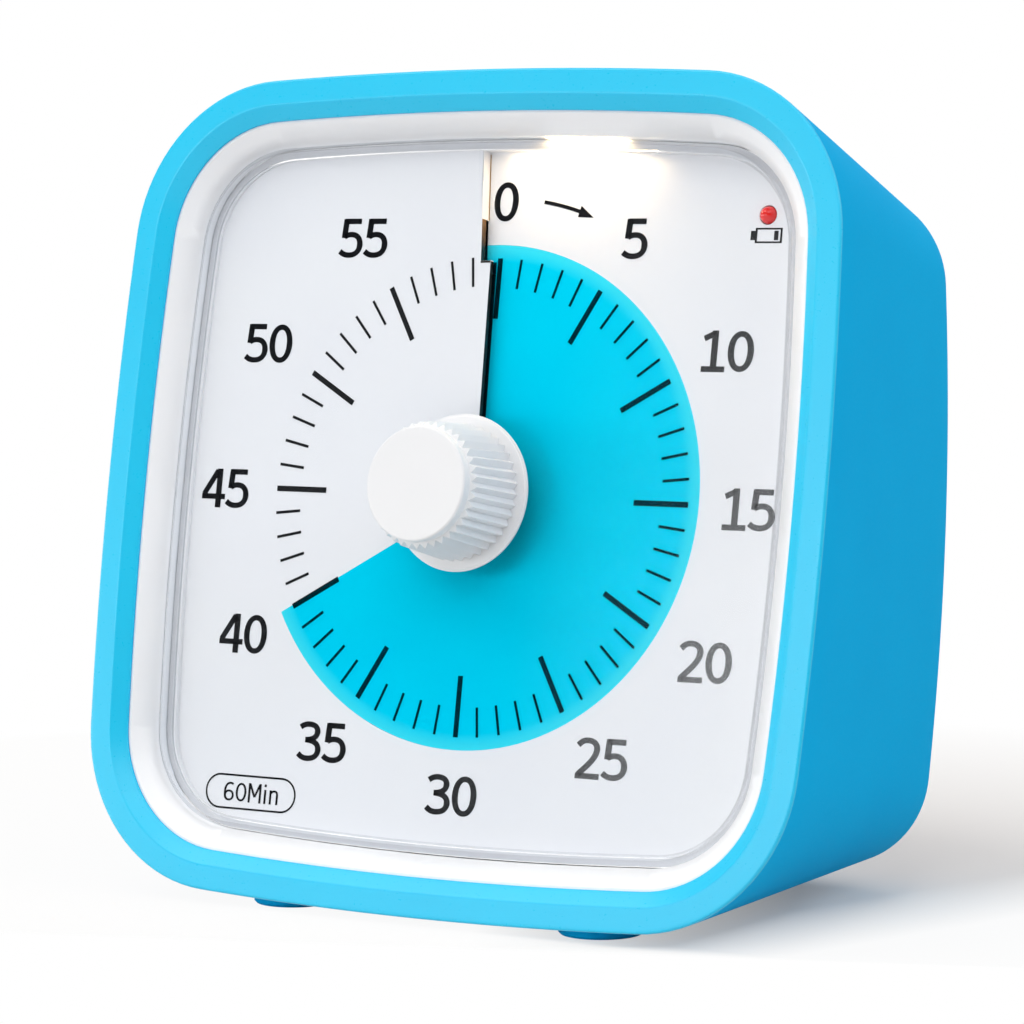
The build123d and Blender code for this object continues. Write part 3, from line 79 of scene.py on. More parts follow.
# ---------------------------------------------------------------- the case frame in the row frame
knob_joint = next(j for j in frame["joints"] if j["name"] == "knob_turn")
dial_centre = Vector(knob_joint["pos_m"])
into_case = -Vector(knob_joint["axis"]).normalized()
right = Vector((1, 0, 0))
up_face = right.cross(into_case).normalized()
case_frame = Matrix((
    (right.x, into_case.x, up_face.x, dial_centre.x),
    (right.y, into_case.y, up_face.y, dial_centre.y),
    (right.z, into_case.z, up_face.z, dial_centre.z),
    (0, 0, 0, 1),
))
# the dial's own frame: local X right, Y up the face, Z out of the dial
dial_frame = case_frame @ Matrix(((1, 0, 0, 0), (0, 0, -1, 0), (0, 1, 0, 0), (0, 0, 0, 1)))


def case(x, y, z):
    """Point of the case frame, given in millimetres, as a place in the row frame."""
    return case_frame @ Vector((x * MM, y * MM, z * MM))


# ---------------------------------------------------------------- camera
camera = bpy.data.cameras.new("camera")
camera.lens = 143.69
camera.sensor_width = 36.0
camera_object = bpy.data.objects.new("camera", camera)
camera_object.location = (0.28614, -0.4639167, 0.09178)
camera_object.rotation_euler = [math.radians(a) for a in (85.725, 0.3051, 32.0398)]
scene.collection.objects.link(camera_object)
scene.camera = camera_object


# ---------------------------------------------------------------- colours and nodes
def srgb(code):
    """sRGB hex code as a linear colour."""
    values = [int(code[i:i + 2], 16) / 255 for i in (1, 3, 5)]
    linear = [v / 12.92 if v <= 0.04045 else ((v + 0.055) / 1.055) ** 2.4 for v in values]
    return (*linear, 1.0)


def add(tree, kind, inputs=None, **settings):
    """Adds a node with its settings; an input takes a value, a socket or a node's first live output."""
    node = tree.nodes.new(kind)
    for name, value in settings.items():
        setattr(node, name, value)
    for name, value in (inputs or {}).items():
        if isinstance(value, bpy.types.Node):
            value = next(socket for socket in value.outputs if socket.enabled)
        if isinstance(value, bpy.types.NodeSocket):
            tree.links.new(value, node.inputs[name])
        else:
            node.inputs[name].default_value = value
    return node


def new_material(name):
    """Empty material, its node tree, and the object coordinates, in metres, that its patterns follow."""
    material = bpy.data.materials.new(name)
    material.use_nodes = True
    tree = material.node_tree
    tree.nodes.clear()
    return material, tree, add(tree, "ShaderNodeTexCoord").outputs["Object"]


# the part of a noise's range that it mostly fills
SPAN = {"From Min": 0.3, "From Max": 0.7}


def moulded(name, colour, shade, roughness, grain_mm, depth_mm, specular=0.5, **sockets):
    """Moulded polymer: an even colour that drifts a little, and a spark-eroded grain from the tool.

    Real tool grain is under 0.1 mm; it is drawn coarser, so that it shows.
    """
    material, tree, place = new_material(name)
    grain = add(tree, "ShaderNodeTexNoise", {"Vector": place, "Scale": 1 / (grain_mm * MM), "Detail": 3.0})
    drift = add(tree, "ShaderNodeTexNoise", {"Vector": place, "Scale": 1 / (18 * MM), "Detail": 1.0})
    share = add(tree, "ShaderNodeMapRange", {"Value": drift, **SPAN})
    surface = add(tree, "ShaderNodeBsdfPrincipled", {
        "Base Color": add(tree, "ShaderNodeMix", {
            "Factor": share, 6: srgb(colour), 7: srgb(shade),
        }, data_type="RGBA"),
        "Roughness": add(tree, "ShaderNodeMapRange", {
            "Value": grain, **SPAN, "To Min": roughness - 0.05, "To Max": roughness + 0.05,
        }),
        "Normal": add(tree, "ShaderNodeBump", {"Height": grain, "Distance": depth_mm * MM}),
        "Specular IOR Level": specular,
        **sockets,
    })
    add(tree, "ShaderNodeOutputMaterial", {"Surface": surface})
    return material


def metal(name, colour, roughness, line_mm, along=(1, 1, 1), depth_mm=0.002):
    """Bare or plated metal with drawn or ground lines, drawn coarser than real ones, so that they show.

    along gives how closely the lines lie in X, Y and Z: a small number draws them out that way.
    """
    material, tree, place = new_material(name)
    run = add(tree, "ShaderNodeMapping", {"Vector": place, "Scale": along})
    lines = add(tree, "ShaderNodeTexNoise", {"Vector": run, "Scale": 1 / (line_mm * MM), "Detail": 3.0})
    stain = add(tree, "ShaderNodeTexNoise", {"Vector": place, "Scale": 1 / (4 * MM)})
    darker = (*(0.86 * c for c in srgb(colour)[:3]), 1.0)
    surface = add(tree, "ShaderNodeBsdfPrincipled", {
        "Base Color": add(tree, "ShaderNodeMix", {
            "Factor": add(tree, "ShaderNodeMapRange", {"Value": stain, **SPAN}), 6: srgb(colour), 7: darker,
        }, data_type="RGBA"),
        "Metallic": 1.0,
        "Roughness": add(tree, "ShaderNodeMapRange", {
            "Value": lines, **SPAN, "To Min": roughness - 0.06, "To Max": roughness + 0.08,
        }),
        "Normal": add(tree, "ShaderNodeBump", {"Height": lines, "Distance": depth_mm * MM}),
    })
    add(tree, "ShaderNodeOutputMaterial", {"Surface": surface})
    return material


def lets_light_by(tree, surface, tint):
    """Clear sheet: lamps light what lies behind it straight through, tinted."""
    light = add(tree, "ShaderNodeLightPath").outputs
    passing = add(tree, "ShaderNodeMath", {
        0: light["Is Shadow Ray"], 1: light["Is Diffuse Ray"],
    }, operation="MAXIMUM")
    clear = add(tree, "ShaderNodeBsdfTransparent", {"Color": srgb(tint)})
    return add(tree, "ShaderNodeMixShader", {"Fac": passing, 1: surface, 2: clear})


# ---------------------------------------------------------------- materials
# Silicone rubber, compression moulded: soft satin on the lip, where the tool is smooth.
silicone_lip = moulded("silicone_rubber_moulded_satin", "#10C9F3", "#0EC6F1", 0.32, 0.35, 0.004, 0.6)
# The same rubber off the blasted side of the tool: dull, so it keeps its full colour from every side.
# Its colour, deeper and bluer than the lip's, is painted shade for the side wall and feet away from the key light.
silicone_wall_painted_shade = moulded("silicone_rubber_matte_painted_shade", "#0ABBF4", "#0AB8F2", 0.75, 0.35, 0.010, 0.08,
                        **{"Specular Tint": srgb("#40C8F8")})
# ABS, injection moulded in a lightly eroded tool: white with a soft satin shine.
abs_white = moulded("abs_moulded_white", "#F5F7FA", "#F2F4F7", 0.34, 0.5, 0.003)
# The knob's ABS, in a smoother tool: a soft satin face.
abs_knob = moulded("abs_moulded_bright_white", "#E9EBED", "#E7E9EC", 0.36, 0.5, 0.002)
# The rear mouldings' ABS, in a coarser tool: greyer, and nearly without shine.
abs_white_rear = moulded("abs_moulded_white_textured", "#DFE2E6", "#D9DCE1", 0.5, 0.6, 0.012)
# Polystyrene sheet with a printed satin white.
styrene_white = moulded("polystyrene_printed_white", "#EDEEF0", "#EBECEF", 0.5, 0.4, 0.001, 0.2)
# Screen ink, cured glossy: deep black that greys where a lamp lies in its shine.
ink_black = moulded("screen_ink_black", "#101114", "#141518", 0.12, 0.12, 0.0003, 0.6)
# The scale's ink, cured flat: stays dark under the film from every side.
ink_flat = moulded("screen_ink_black_flat", "#0E0F12", "#121316", 0.45, 0.12, 0.0003, 0.15)
# Painted shade: a dull tan line for the crease at the foot of the dial's step, warmed by the night light.
crease_shade_tan = moulded("painted_crease_shade_tan", "#B08A48", "#9C773A", 0.6, 0.2, 0.002, 0.1)
# Acetal and nylon, injection moulded: waxy off-white wheels, dull black mouldings.
acetal_white = moulded("acetal_moulded_natural", "#E8E4DA", "#E2DED2", 0.38, 0.3, 0.002)
nylon_black = moulded("nylon_moulded_black", "#1B1C1F", "#232427", 0.48, 0.3, 0.006)
# Epoxy, transfer moulded round the electronics: near black, faintly grained.
phenolic_black = moulded("epoxy_moulded_black", "#151517", "#1D1D20", 0.42, 0.1, 0.004)
# PVC, drawn over the leads' strands: smooth, with a low shine.
pvc_red = moulded("pvc_extruded_red", "#B31A18", "#A51513", 0.4, 0.3, 0.002)
pvc_white = moulded("pvc_extruded_white", "#E2E0DA", "#D8D6CF", 0.4, 0.3, 0.002)
# Solder mask over glass cloth: glossy green with the cloth's slow mottle.
solder_mask_green = moulded("glass_epoxy_solder_mask_green", "#0E5A34", "#0B4F2D", 0.25, 1.2, 0.003)
# Ferrite, pressed, fired and ground: dark grey with fine grit.
ferrite_dark = moulded("ferrite_sintered_ground", "#3A3A3D", "#303033", 0.5, 0.08, 0.004)
# Steel, plated, ground or stamped: cool grey, with the lines of how it was made.
steel_plated = metal("steel_zinc_plated", "#C9CCD0", 0.3, 0.25)
steel_ground = metal("steel_ground_bright", "#B9BBBE", 0.22, 0.12, (1, 0.05, 1))
steel_laminated = metal("silicon_steel_laminated", "#9FA2A6", 0.38, 0.3, (0.2, 4, 0.2), 0.01)
nickel_plate = metal("spring_steel_nickel_plated", "#D4D2CC", 0.2, 0.2)
# Other metals: pale tin plate, yellow turned brass, enamelled copper turns, drawn aluminium.
tin_plate = metal("tin_plate_pressed", "#C7C9CC", 0.28, 0.4)
brass_turned = metal("brass_turned", "#D8B25A", 0.24, 0.12, (1, 0.05, 1))
copper_enamelled = metal("copper_enamelled_wound", "#B8683A", 0.3, 0.15, (1, 1, 8), 0.02)
aluminium_drawn = metal("aluminium_drawn", "#C2C4C7", 0.26, 0.2)


def acrylic_material(name, ratio, veil_share, tint):
    """Acrylic, moulded in a polished tool: what is behind it stays in place under a faint mirror."""
    material, tree, place = new_material(name)
    swell = add(tree, "ShaderNodeTexNoise", {"Vector": place, "Scale": 1 / (22 * MM), "Detail": 1.0})
    wave = add(tree, "ShaderNodeBump", {"Height": swell, "Distance": 0.02 * MM, "Strength": 0.3})
    veil = add(tree, "ShaderNodeFresnel", {"IOR": ratio, "Normal": wave})
    share = add(tree, "ShaderNodeMath", {0: veil, 1: veil_share}, operation="MULTIPLY")
    clear = add(tree, "ShaderNodeBsdfTransparent", {"Color": srgb(tint)})
    mirror = add(tree, "ShaderNodeBsdfGlossy", {"Color": srgb("#FFFFFF"), "Roughness": 0.02, "Normal": wave})
    sheet = add(tree, "ShaderNodeMixShader", {"Fac": share, 1: clear, 2: mirror})
    add(tree, "ShaderNodeOutputMaterial", {"Surface": lets_light_by(tree, sheet, "#FDFEFF")})
    return material


def edge_ink_material():
    """Black over the slit's cut edge, and brown where the night light shines on it: the brown is painted lamp
    light.
    """
    material, tree, place = new_material("slit_edge_black_with_painted_lamp_light")
    height = add(tree, "ShaderNodeSeparateXYZ", {"Vector": place}).outputs["Z"]
    # painted lamp light: brown from this height up, where the night light falls on the edge
    painted_lamp_light = add(tree, "ShaderNodeMapRange", {"Value": height, "From Min": 0.0862, "From Max": 0.0900})
    speck = add(tree, "ShaderNodeTexNoise", {"Vector": place, "Scale": 1 / (0.2 * MM)})
    surface = add(tree, "ShaderNodeBsdfPrincipled", {
        "Base Color": add(tree, "ShaderNodeMix", {
            "Factor": painted_lamp_light, 6: srgb("#15130F"), 7: srgb("#6E4D1E"),
        }, data_type="RGBA"),
        "Roughness": add(tree, "ShaderNodeMapRange", {
            "Value": speck, **SPAN, "To Min": 0.35, "To Max": 0.45,
        }),
    })
    add(tree, "ShaderNodeOutputMaterial", {"Surface": surface})
    return material


def film_material():
    """Polyester film, dyed through: the ticks show dark through it, its cut edge catches light."""
    material, tree, place = new_material("polyester_film_dyed_blue")
    drift = add(tree, "ShaderNodeTexNoise", {"Vector": place, "Scale": 1 / (9 * MM), "Detail": 1.0})
    body = add(tree, "ShaderNodeMix", {
        "Factor": add(tree, "ShaderNodeMapRange", {"Value": drift, **SPAN}),
        6: srgb("#00E3FF"), 7: srgb("#00E1FE"),
    }, data_type="RGBA")
    rim = add(tree, "ShaderNodeAttribute", attribute_name="rim").outputs["Fac"]
    surface = add(tree, "ShaderNodeBsdfPrincipled", {
        "Base Color": add(tree, "ShaderNodeMix", {
            "Factor": rim, 6: body, 7: srgb("#40EEFF"),
        }, data_type="RGBA"),
        "Roughness": 0.08,
        "IOR": 1.02,
        "Transmission Weight": 0.995,
        "Normal": add(tree, "ShaderNodeBump", {"Height": drift, "Distance": 0.01 * MM, "Strength": 0.5}),
    })
    add(tree, "ShaderNodeOutputMaterial", {"Surface": lets_light_by(tree, surface, "#FAFDFF")})
    return material


def phosphor_material():
    """Phosphor under clear resin: pale yellow, giving off a warm light."""
    material, tree, place = new_material("phosphor_in_resin_warm")
    speck = add(tree, "ShaderNodeTexNoise", {"Vector": place, "Scale": 1 / (0.2 * MM)})
    warm = srgb("#FFD9A0")
    surface = add(tree, "ShaderNodeBsdfPrincipled", {
        "Base Color": add(tree, "ShaderNodeMix", {
            "Factor": speck, 6: srgb("#FFF2C8"), 7: warm,
        }, data_type="RGBA"),
        "Roughness": 0.3,
        "Emission Color": warm,
        "Emission Strength": 90.0,
    })
    add(tree, "ShaderNodeOutputMaterial", {"Surface": surface})
    return material


def red_lamp_material():
    """Epoxy, cast and dyed red: deep colour, wet shine and a little light let into the dome."""
    material, tree, place = new_material("epoxy_cast_red")
    swirl = add(tree, "ShaderNodeTexNoise", {"Vector": place, "Scale": 1 / (1.2 * MM), "Detail": 1.0})
    surface = add(tree, "ShaderNodeBsdfPrincipled", {
        "Base Color": add(tree, "ShaderNodeMix", {
            "Factor": swirl, 6: srgb("#F2201C"), 7: srgb("#E8120F"),
        }, data_type="RGBA"),
        "Roughness": 0.08,
        "Coat Weight": 0.6,
        "Subsurface Weight": 0.2,
        "Subsurface Scale": 0.0008,
    })
    add(tree, "ShaderNodeOutputMaterial", {"Surface": surface})
    return material


def cell_material():
    """Printed plastic jacket shrunk on a steel can: bands along the cell, bare metal at its ends."""
    material, tree, place = new_material("pvc_jacket_printed_on_steel")
    along = add(tree, "ShaderNodeSeparateXYZ", {"Vector": place}).outputs["X"]
    band = add(tree, "ShaderNodeMath", {0: along, 1: 0.0065}, operation="GREATER_THAN")
    off_middle = add(tree, "ShaderNodeMath", {0: along}, operation="ABSOLUTE")
    bare = add(tree, "ShaderNodeMath", {0: off_middle, 1: 0.0252}, operation="GREATER_THAN")
    jacket = add(tree, "ShaderNodeMix", {
        "Factor": band, 6: srgb("#2E6B4A"), 7: srgb("#C9CBCC"),
    }, data_type="RGBA")
    grain = add(tree, "ShaderNodeTexNoise", {"Vector": place, "Scale": 1 / (0.4 * MM)})
    surface = add(tree, "ShaderNodeBsdfPrincipled", {
        "Base Color": add(tree, "ShaderNodeMix", {
            "Factor": bare, 6: jacket, 7: srgb("#C8CACC"),
        }, data_type="RGBA"),
        "Metallic": bare,
        "Roughness": add(tree, "ShaderNodeMapRange", {
            "Value": grain, **SPAN, "To Min": 0.25, "To Max": 0.35,
        }),
        "Normal": add(tree, "ShaderNodeBump", {"Height": grain, "Distance": 0.003 * MM}),
    })
    add(tree, "ShaderNodeOutputMaterial", {"Surface": surface})
    return material


ACRYLIC_IOR = 1.49
# the tray's rounded edge and wall are tinted grey, a painted shade for the dark line the edge's refraction draws,
# and mirror more; its flat faces stay clear
acrylic = acrylic_material("acrylic_edge_painted_grey", ACRYLIC_IOR, 0.7, "#E9EAEC")
acrylic_front = acrylic_material("acrylic_polished_front", ACRYLIC_IOR, 0.07, "#FCFDFE")
# met from inside the sheet
acrylic_back = acrylic_material("acrylic_polished_back", 1 / ACRYLIC_IOR, 0.07, "#FCFDFE")
film = film_material()
slit_edge_black_and_lamp_light = edge_ink_material()
phosphor_warm = phosphor_material()
epoxy_red = red_lamp_material()
jacket_printed = cell_material()


# ---------------------------------------------------------------- outline of the case
def turn_about(centre, radius, start, end, count):
    """Points on an arc, the last one left out."""
    return [
        (centre[0] + radius * math.cos(start + (end - start) * k / count),
         centre[1] + radius * math.sin(start + (end - start) * k / count))
        for k in range(count)
    ]


def crowned_square(half_width, half_height, crown, corner):
    """Square with bulging sides and round corners, as points that run counter-clockwise."""
    side_count, corner_count = 16, 20
    # radii and centres of the right side's arc and of the top's
    side_radius = (half_height**2 + crown**2) / (2 * crown)
    top_radius = (half_width**2 + crown**2) / (2 * crown)
    side_centre = Vector((half_width - side_radius, 0))
    top_centre = Vector((0, half_height - top_radius))
    # the corner's centre is where two circles cross, and the outer crossing is taken
    span = side_centre - top_centre
    gap = span.length
    along = ((top_radius - corner) ** 2 - (side_radius - corner) ** 2 + gap**2) / (2 * gap)
    across = math.sqrt((top_radius - corner) ** 2 - along**2)
    unit = span.normalized()
    both = [top_centre + unit * along + Vector((-unit.y, unit.x)) * across * sign for sign in (1, -1)]
    centre = max(both, key=lambda p: p.x + p.y)
    low = math.atan2(centre.y - side_centre.y, centre.x - side_centre.x)
    high = math.atan2(centre.y - top_centre.y, centre.x - top_centre.x)
    quarter = (
        turn_about(side_centre, side_radius, 0, low, side_count)
        + turn_about(centre, corner, low, high, corner_count)
        + turn_about(top_centre, top_radius, high, math.pi / 2, side_count)
    )
    upper = quarter + [(0.0, half_height)] + [(-x, y) for x, y in reversed(quarter[1:])]
    return upper + [(-half_width, 0.0)] + [(x, -y) for x, y in reversed(upper[1:])]


def front_points(inset):
    """Outline of the case at its front rim, drawn in by inset."""
    share = 1 - inset / HALF_WIDTH
    return crowned_square(HALF_WIDTH - inset, HALF_HEIGHT - inset, CROWN * share, CORNER - inset)


def rear_points(inset):
    """Outline of the case at its rear face, drawn in by inset."""
    half_width = HALF_WIDTH - REAR_INSET - inset
    half_height = HALF_HEIGHT - REAR_INSET - inset
    share = half_width / (HALF_WIDTH - REAR_INSET)
    return crowned_square(half_width, half_height, CROWN * share, REAR_CORNER - inset)


def front_ring(inset, y):
    """Outline of the front rim, drawn in by inset, at depth y."""
    return [Vector((x, y, z)) for x, z in front_points(inset)]


def rear_ring(inset, depth):
    """Outline of the rear face, drawn in by inset, at a depth inwards from it."""
    c, s = math.cos(math.radians(REAR_TILT)), math.sin(math.radians(REAR_TILT))
    return [
        Vector((x, REAR_Y - s * (v + REAR_RISE) - c * depth, c * (v + REAR_RISE) - s * depth))
        for x, v in rear_points(inset)
    ]


def wall_ring(inset, share):
    """Outline drawn in by inset, at a share of the way from the front rim to the rear face."""
    return [a.lerp(b, share) for a, b in zip(front_ring(inset, RIM_Y), rear_ring(inset, 0))]


# ---------------------------------------------------------------- mesh helpers
def skin(mesh, rings, joined_ends=False):
    """Quads between successive rings of points."""
    grid = [[mesh.verts.new(p) for p in ring] for ring in rings]
    pairs = list(zip(grid, grid[1:]))
    if joined_ends:
        pairs.append((grid[-1], grid[0]))
    for one, two in pairs:
        for k in range(len(one)):
            after = (k + 1) % len(one)
            mesh.faces.new((one[k], one[after], two[after], two[k]))


def to_object(name, mesh, material, sharp, frame_of=case_frame, facing=None):
    """Makes the object from a mesh in millimetres, with its place in its points.

    A closed form has its faces turned outwards, and a flat sheet the way that facing gives.
    """
    bmesh.ops.remove_doubles(mesh, verts=mesh.verts, dist=1e-5)
    if facing:
        mesh.normal_update()
        turned_away = [face for face in mesh.faces if face.normal.dot(Vector(facing)) < 0]
        bmesh.ops.reverse_faces(mesh, faces=turned_away)
    else:
        bmesh.ops.recalc_face_normals(mesh, faces=mesh.faces)
    data = bpy.data.meshes.new(name)
    mesh.to_mesh(data)
    mesh.free()
    data.transform(frame_of @ Matrix.Scale(MM, 4))
    data.materials.append(material)
    data.polygons.foreach_set("use_smooth", [True] * len(data.polygons))
    data.set_sharp_from_angle(angle=math.radians(sharp))
    made = bpy.data.objects.new(name, data)
    scene.collection.objects.link(made)
    return made


def level_faces(mesh):
    """Faces of the flat areas, each of which is made up of more than four triangles."""
    mesh.normal_update()
    level, seen = set(), set()
    for start in mesh.faces:
        if start in seen:
            continue
        seen.add(start)
        area, waiting = [], [start]
        while waiting:
            face = waiting.pop()
            area.append(face)
            for other in {near for edge in face.edges for near in edge.link_faces} - seen:
                if face.normal.dot(other.normal) > 0.99999:
                    seen.add(other)
                    waiting.append(other)
        if len(area) > 4:
            level.update(area)
    return level


def softened(node, material):
    """Copy of a moulding's solid with joined faces, so that its rounds shade smoothly."""
    data = nodes[node].data.copy()
    mesh = bmesh.new()
    mesh.from_mesh(data)
    bmesh.ops.remove_doubles(mesh, verts=mesh.verts, dist=2e-6)
    # a flat area keeps its own shading up to its border, unless it runs on with hardly a bend
    level = level_faces(mesh)
    for edge in mesh.edges:
        inside = sum(face in level for face in edge.link_faces)
        edge.smooth = inside != 1 or edge.calc_face_angle(0.0) < math.radians(3.0)
    mesh.to_mesh(data)
    mesh.free()
    data.materials.clear()
    data.materials.append(material)
    data.polygons.foreach_set("material_index", [0] * len(data.polygons))
    borders = [edge.index for edge in data.edges if edge.use_edge_sharp]
    data.polygons.foreach_set("use_smooth", [True] * len(data.polygons))
    data.set_sharp_from_angle(angle=math.radians(28.0))
    for index in borders:
        data.edges[index].use_edge_sharp = True
    made = bpy.data.objects.new(node + "_finished", data)
    scene.collection.objects.link(made)
    made.modifiers.new("even_shading", "WEIGHTED_NORMAL").keep_sharp = True
    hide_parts(node)
    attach(made, body_of(node))


def body_of(node):
    """Name of the body that a CAD node belongs to."""
    bodies = frame["record"]["behaviour"]["bodies"]
    return next(body for body, members in bodies.items() if node in members)


def round_edge(inset, y, radius, steps, start, end):
    """(inset, y) points round an edge, about a centre, between two angles in degrees."""
    turns = [math.radians(start + (end - start) * k / steps) for k in range(steps + 1)]
    return [(inset + radius * math.cos(turn), y + radius * math.sin(turn)) for turn in turns]


def round_shaft(radius, y, turn):
    """Point at an angle clockwise from the top, about the shaft."""
    return Vector((radius * math.sin(turn), y, radius * math.cos(turn)))


# ---------------------------------------------------------------- sleeve
def silicone_sleeve():
    """One-piece jacket: rim, bevel into the mouth, inner wall, rear lip and side wall, as one tube."""
    mesh = bmesh.new()
    edge = 0.4
    # the rim's outer round, from the side to the flat front
    rings = [wall_ring(inset, y / CASE_DEPTH) for inset, y in round_edge(edge, edge, edge, 7, 180, 270)]
    # flat rim, the crease where the bevel into the mouth begins, the bevel and its lower edge
    rings += [front_ring(inset, RIM_Y + deep) for inset, deep in (
        (0.8, 0), (1.6, 0), (2.5, 0), (3.1, 0), (3.3, 0), (3.42, 0.05), (3.55, 0.14),
        (4.4, 0.73), (5.15, 1.24), (5.27, 1.34), (5.3, 1.48),
    )]
    rings += [front_ring(inset, LIP_BACK_Y) for inset in (5.3, 4.2)]
    # inner wall of the sleeve and the lip behind the case
    rings += [wall_ring(SLEEVE_WALL, s) for s in ((LIP_BACK_Y - RIM_Y) / CASE_DEPTH, 0.3, 0.6, 0.9)]
    rings += [rear_ring(inset, deep) for inset, deep in (
        (SLEEVE_WALL, 1.52), (3.3, 1.52), (3.5, 1.3), (3.5, 0.35),
        *round_edge(3.15, 0.35, 0.35, 4, 0, -90), (2.9, 0), (2.0, 0), (1.5, 0),
    )]
    # the rear edge's round and the side wall
    rings += [wall_ring(i, 1 - deep / CASE_DEPTH) for i, deep in round_edge(1.2, 1.2, 1.2, 6, -90, -180)]
    rings += [wall_ring(0, share) for share in (0.9, 0.75, 0.6, 0.45, 0.3, 0.15)]
    skin(mesh, rings, joined_ends=True)
    # the rim and its bevel take the lip's rubber; the rest takes the wall's, whose deeper colour is painted shade
    bevel_end = RIM_Y + 1.45
    for face in mesh.faces:
        face.material_index = 0 if face.calc_center_median().y < bevel_end else 1
    made = to_object("silicone_sleeve_skin", mesh, silicone_lip, 50.0)
    made.data.materials.append(silicone_wall_painted_shade)
    return made


# ---------------------------------------------------------------- lens
def lens_tray():
    """Clear tray with a rounded edge and a short wall, and a hole for the shaft."""
    mesh = bmesh.new()
    front, back, edge = -3.5, -2.0, 0.8
    outer, inner = 8.35, 9.55
    foot = -1.1
    # from the hole out over the front, round the edge and down the wall to its foot
    rings = [circle_ring(radius, front) for radius in (2.5, 2.7, 12.0, 24.0)]
    rings += [front_ring(i, front) for i in (14.0, outer + edge + 0.5, outer + edge + 0.05)]
    rings += [front_ring(i, y) for i, y in round_edge(outer + edge, front + edge, edge, 10, 270, 180)]
    rings += [front_ring(i, y) for i, y in (
        (outer, foot - 0.2), (outer + 0.1, foot - 0.02), (outer + 0.3, foot),
        (inner - 0.3, foot), (inner - 0.1, foot - 0.02), (inner, foot - 0.15),
    )]
    # up inside the wall and back over the rear face to the hole
    rings += [front_ring(i, y) for i, y in (
        (inner, back + 0.3), (inner + 0.1, back + 0.08), (inner + 0.35, back), (14.0, back),
    )]
    rings += [circle_ring(radius, back) for radius in (24.0, 12.0, 2.7, 2.5)]
    skin(mesh, rings, joined_ends=True)
    # the flat faces take the sheet's finishes
    for face in mesh.faces:
        y = face.calc_center_median().y
        if abs(y - front) < 1e-4:
            face.material_index = 1
        elif abs(y - back) < 1e-4:
            face.material_index = 2
    made = to_object("lens_tray", mesh, acrylic, 30.0)
    made.data.materials.append(acrylic_front)
    made.data.materials.append(acrylic_back)
    return made


def circle_ring(radius, y):
    """Circle about the shaft whose points face those of the case's outline."""
    return [round_shaft(radius, y, math.atan2(x, z)) for x, z in front_points(14.0)]


# ---------------------------------------------------------------- dial surface and film
def dial_y(angle):
    """Depth of the dial's printed side at an angle clockwise from the top."""
    return DIAL_PITCH * (0.5 - angle / 360)


def dial_angle(x, z, before_zero):
    """Angle of a point, counted from just before the slit."""
    angle = math.degrees(math.atan2(x, z))
    return angle if angle > -before_zero else angle + 360


def on_dial(x, z):
    """Point just in front of the dial's printed side."""
    before = SLIT_ANGLE if math.hypot(x, z) < SLIT_JOG else SLOT_ANGLE
    return Vector((x, dial_y(dial_angle(x, z, before)) - INK_LIFT, z))


def countdown_film():
    """One full turn of film on the dial's screw surface, with its rim marked for the lighter edge."""
    mesh = bmesh.new()
    rim = mesh.verts.layers.float.new("rim")
    radii = (4.6, 8.0, 14.0, 20.0, 26.0, 31.0, 32.7, FILM_RADIUS)
    rim_from = 32.0
    stations = [FILM_REST - 360 + 2.5 * k for k in range(145)]
    front, back = [], []
    # each side of the film, and how far it stands off the dial
    for sheet, stand_off in ((front, 0.55), (back, 0.30)):
        for angle in stations:
            row = []
            for radius in radii:
                place = round_shaft(radius, dial_y(angle) - stand_off, math.radians(angle))
                row.append(mesh.verts.new(place))
                row[-1][rim] = 1.0 if radius > rim_from else 0.0
            sheet.append(row)
    last_station, last_radius = len(stations) - 1, len(radii) - 1
    for k in range(last_station):
        for j in range(last_radius):
            mesh.faces.new((front[k][j], front[k + 1][j], front[k + 1][j + 1], front[k][j + 1]))
            mesh.faces.new((back[k][j], back[k][j + 1], back[k + 1][j + 1], back[k + 1][j]))
        for j in (0, last_radius):
            mesh.faces.new((front[k][j], front[k + 1][j], back[k + 1][j], back[k][j]))
    for k in (0, last_station):
        for j in range(last_radius):
            mesh.faces.new((front[k][j], front[k][j + 1], back[k][j + 1], back[k][j]))
    return to_object("countdown_film", mesh, film, 30.0)


# ---------------------------------------------------------------- what is printed on the dial
def curve(*given, count=9):
    """Points along cubic curves joined end to end: four points for the first, three for each more."""
    points = [given[0]]
    for first in range(0, len(given) - 1, 3):
        for k in range(1, count + 1):
            t = k / count
            u = 1 - t
            points.append(tuple(
                u**3 * a + 3 * u * u * t * b + 3 * u * t * t * c + t**3 * d
                for a, b, c, d in zip(*given[first:first + 4])
            ))
    return points


def loop(cx, cy, rx, ry, squareness=0.60):
    """Closed oval path."""
    kx, ky = rx * squareness, ry * squareness
    return curve(
        (cx + rx, cy), (cx + rx, cy + ky), (cx + kx, cy + ry),
        (cx, cy + ry), (cx - kx, cy + ry), (cx - rx, cy + ky),
        (cx - rx, cy), (cx - rx, cy - ky), (cx - kx, cy - ry),
        (cx, cy - ry), (cx + kx, cy - ry), (cx + rx, cy - ky), (cx + rx, cy),
    )


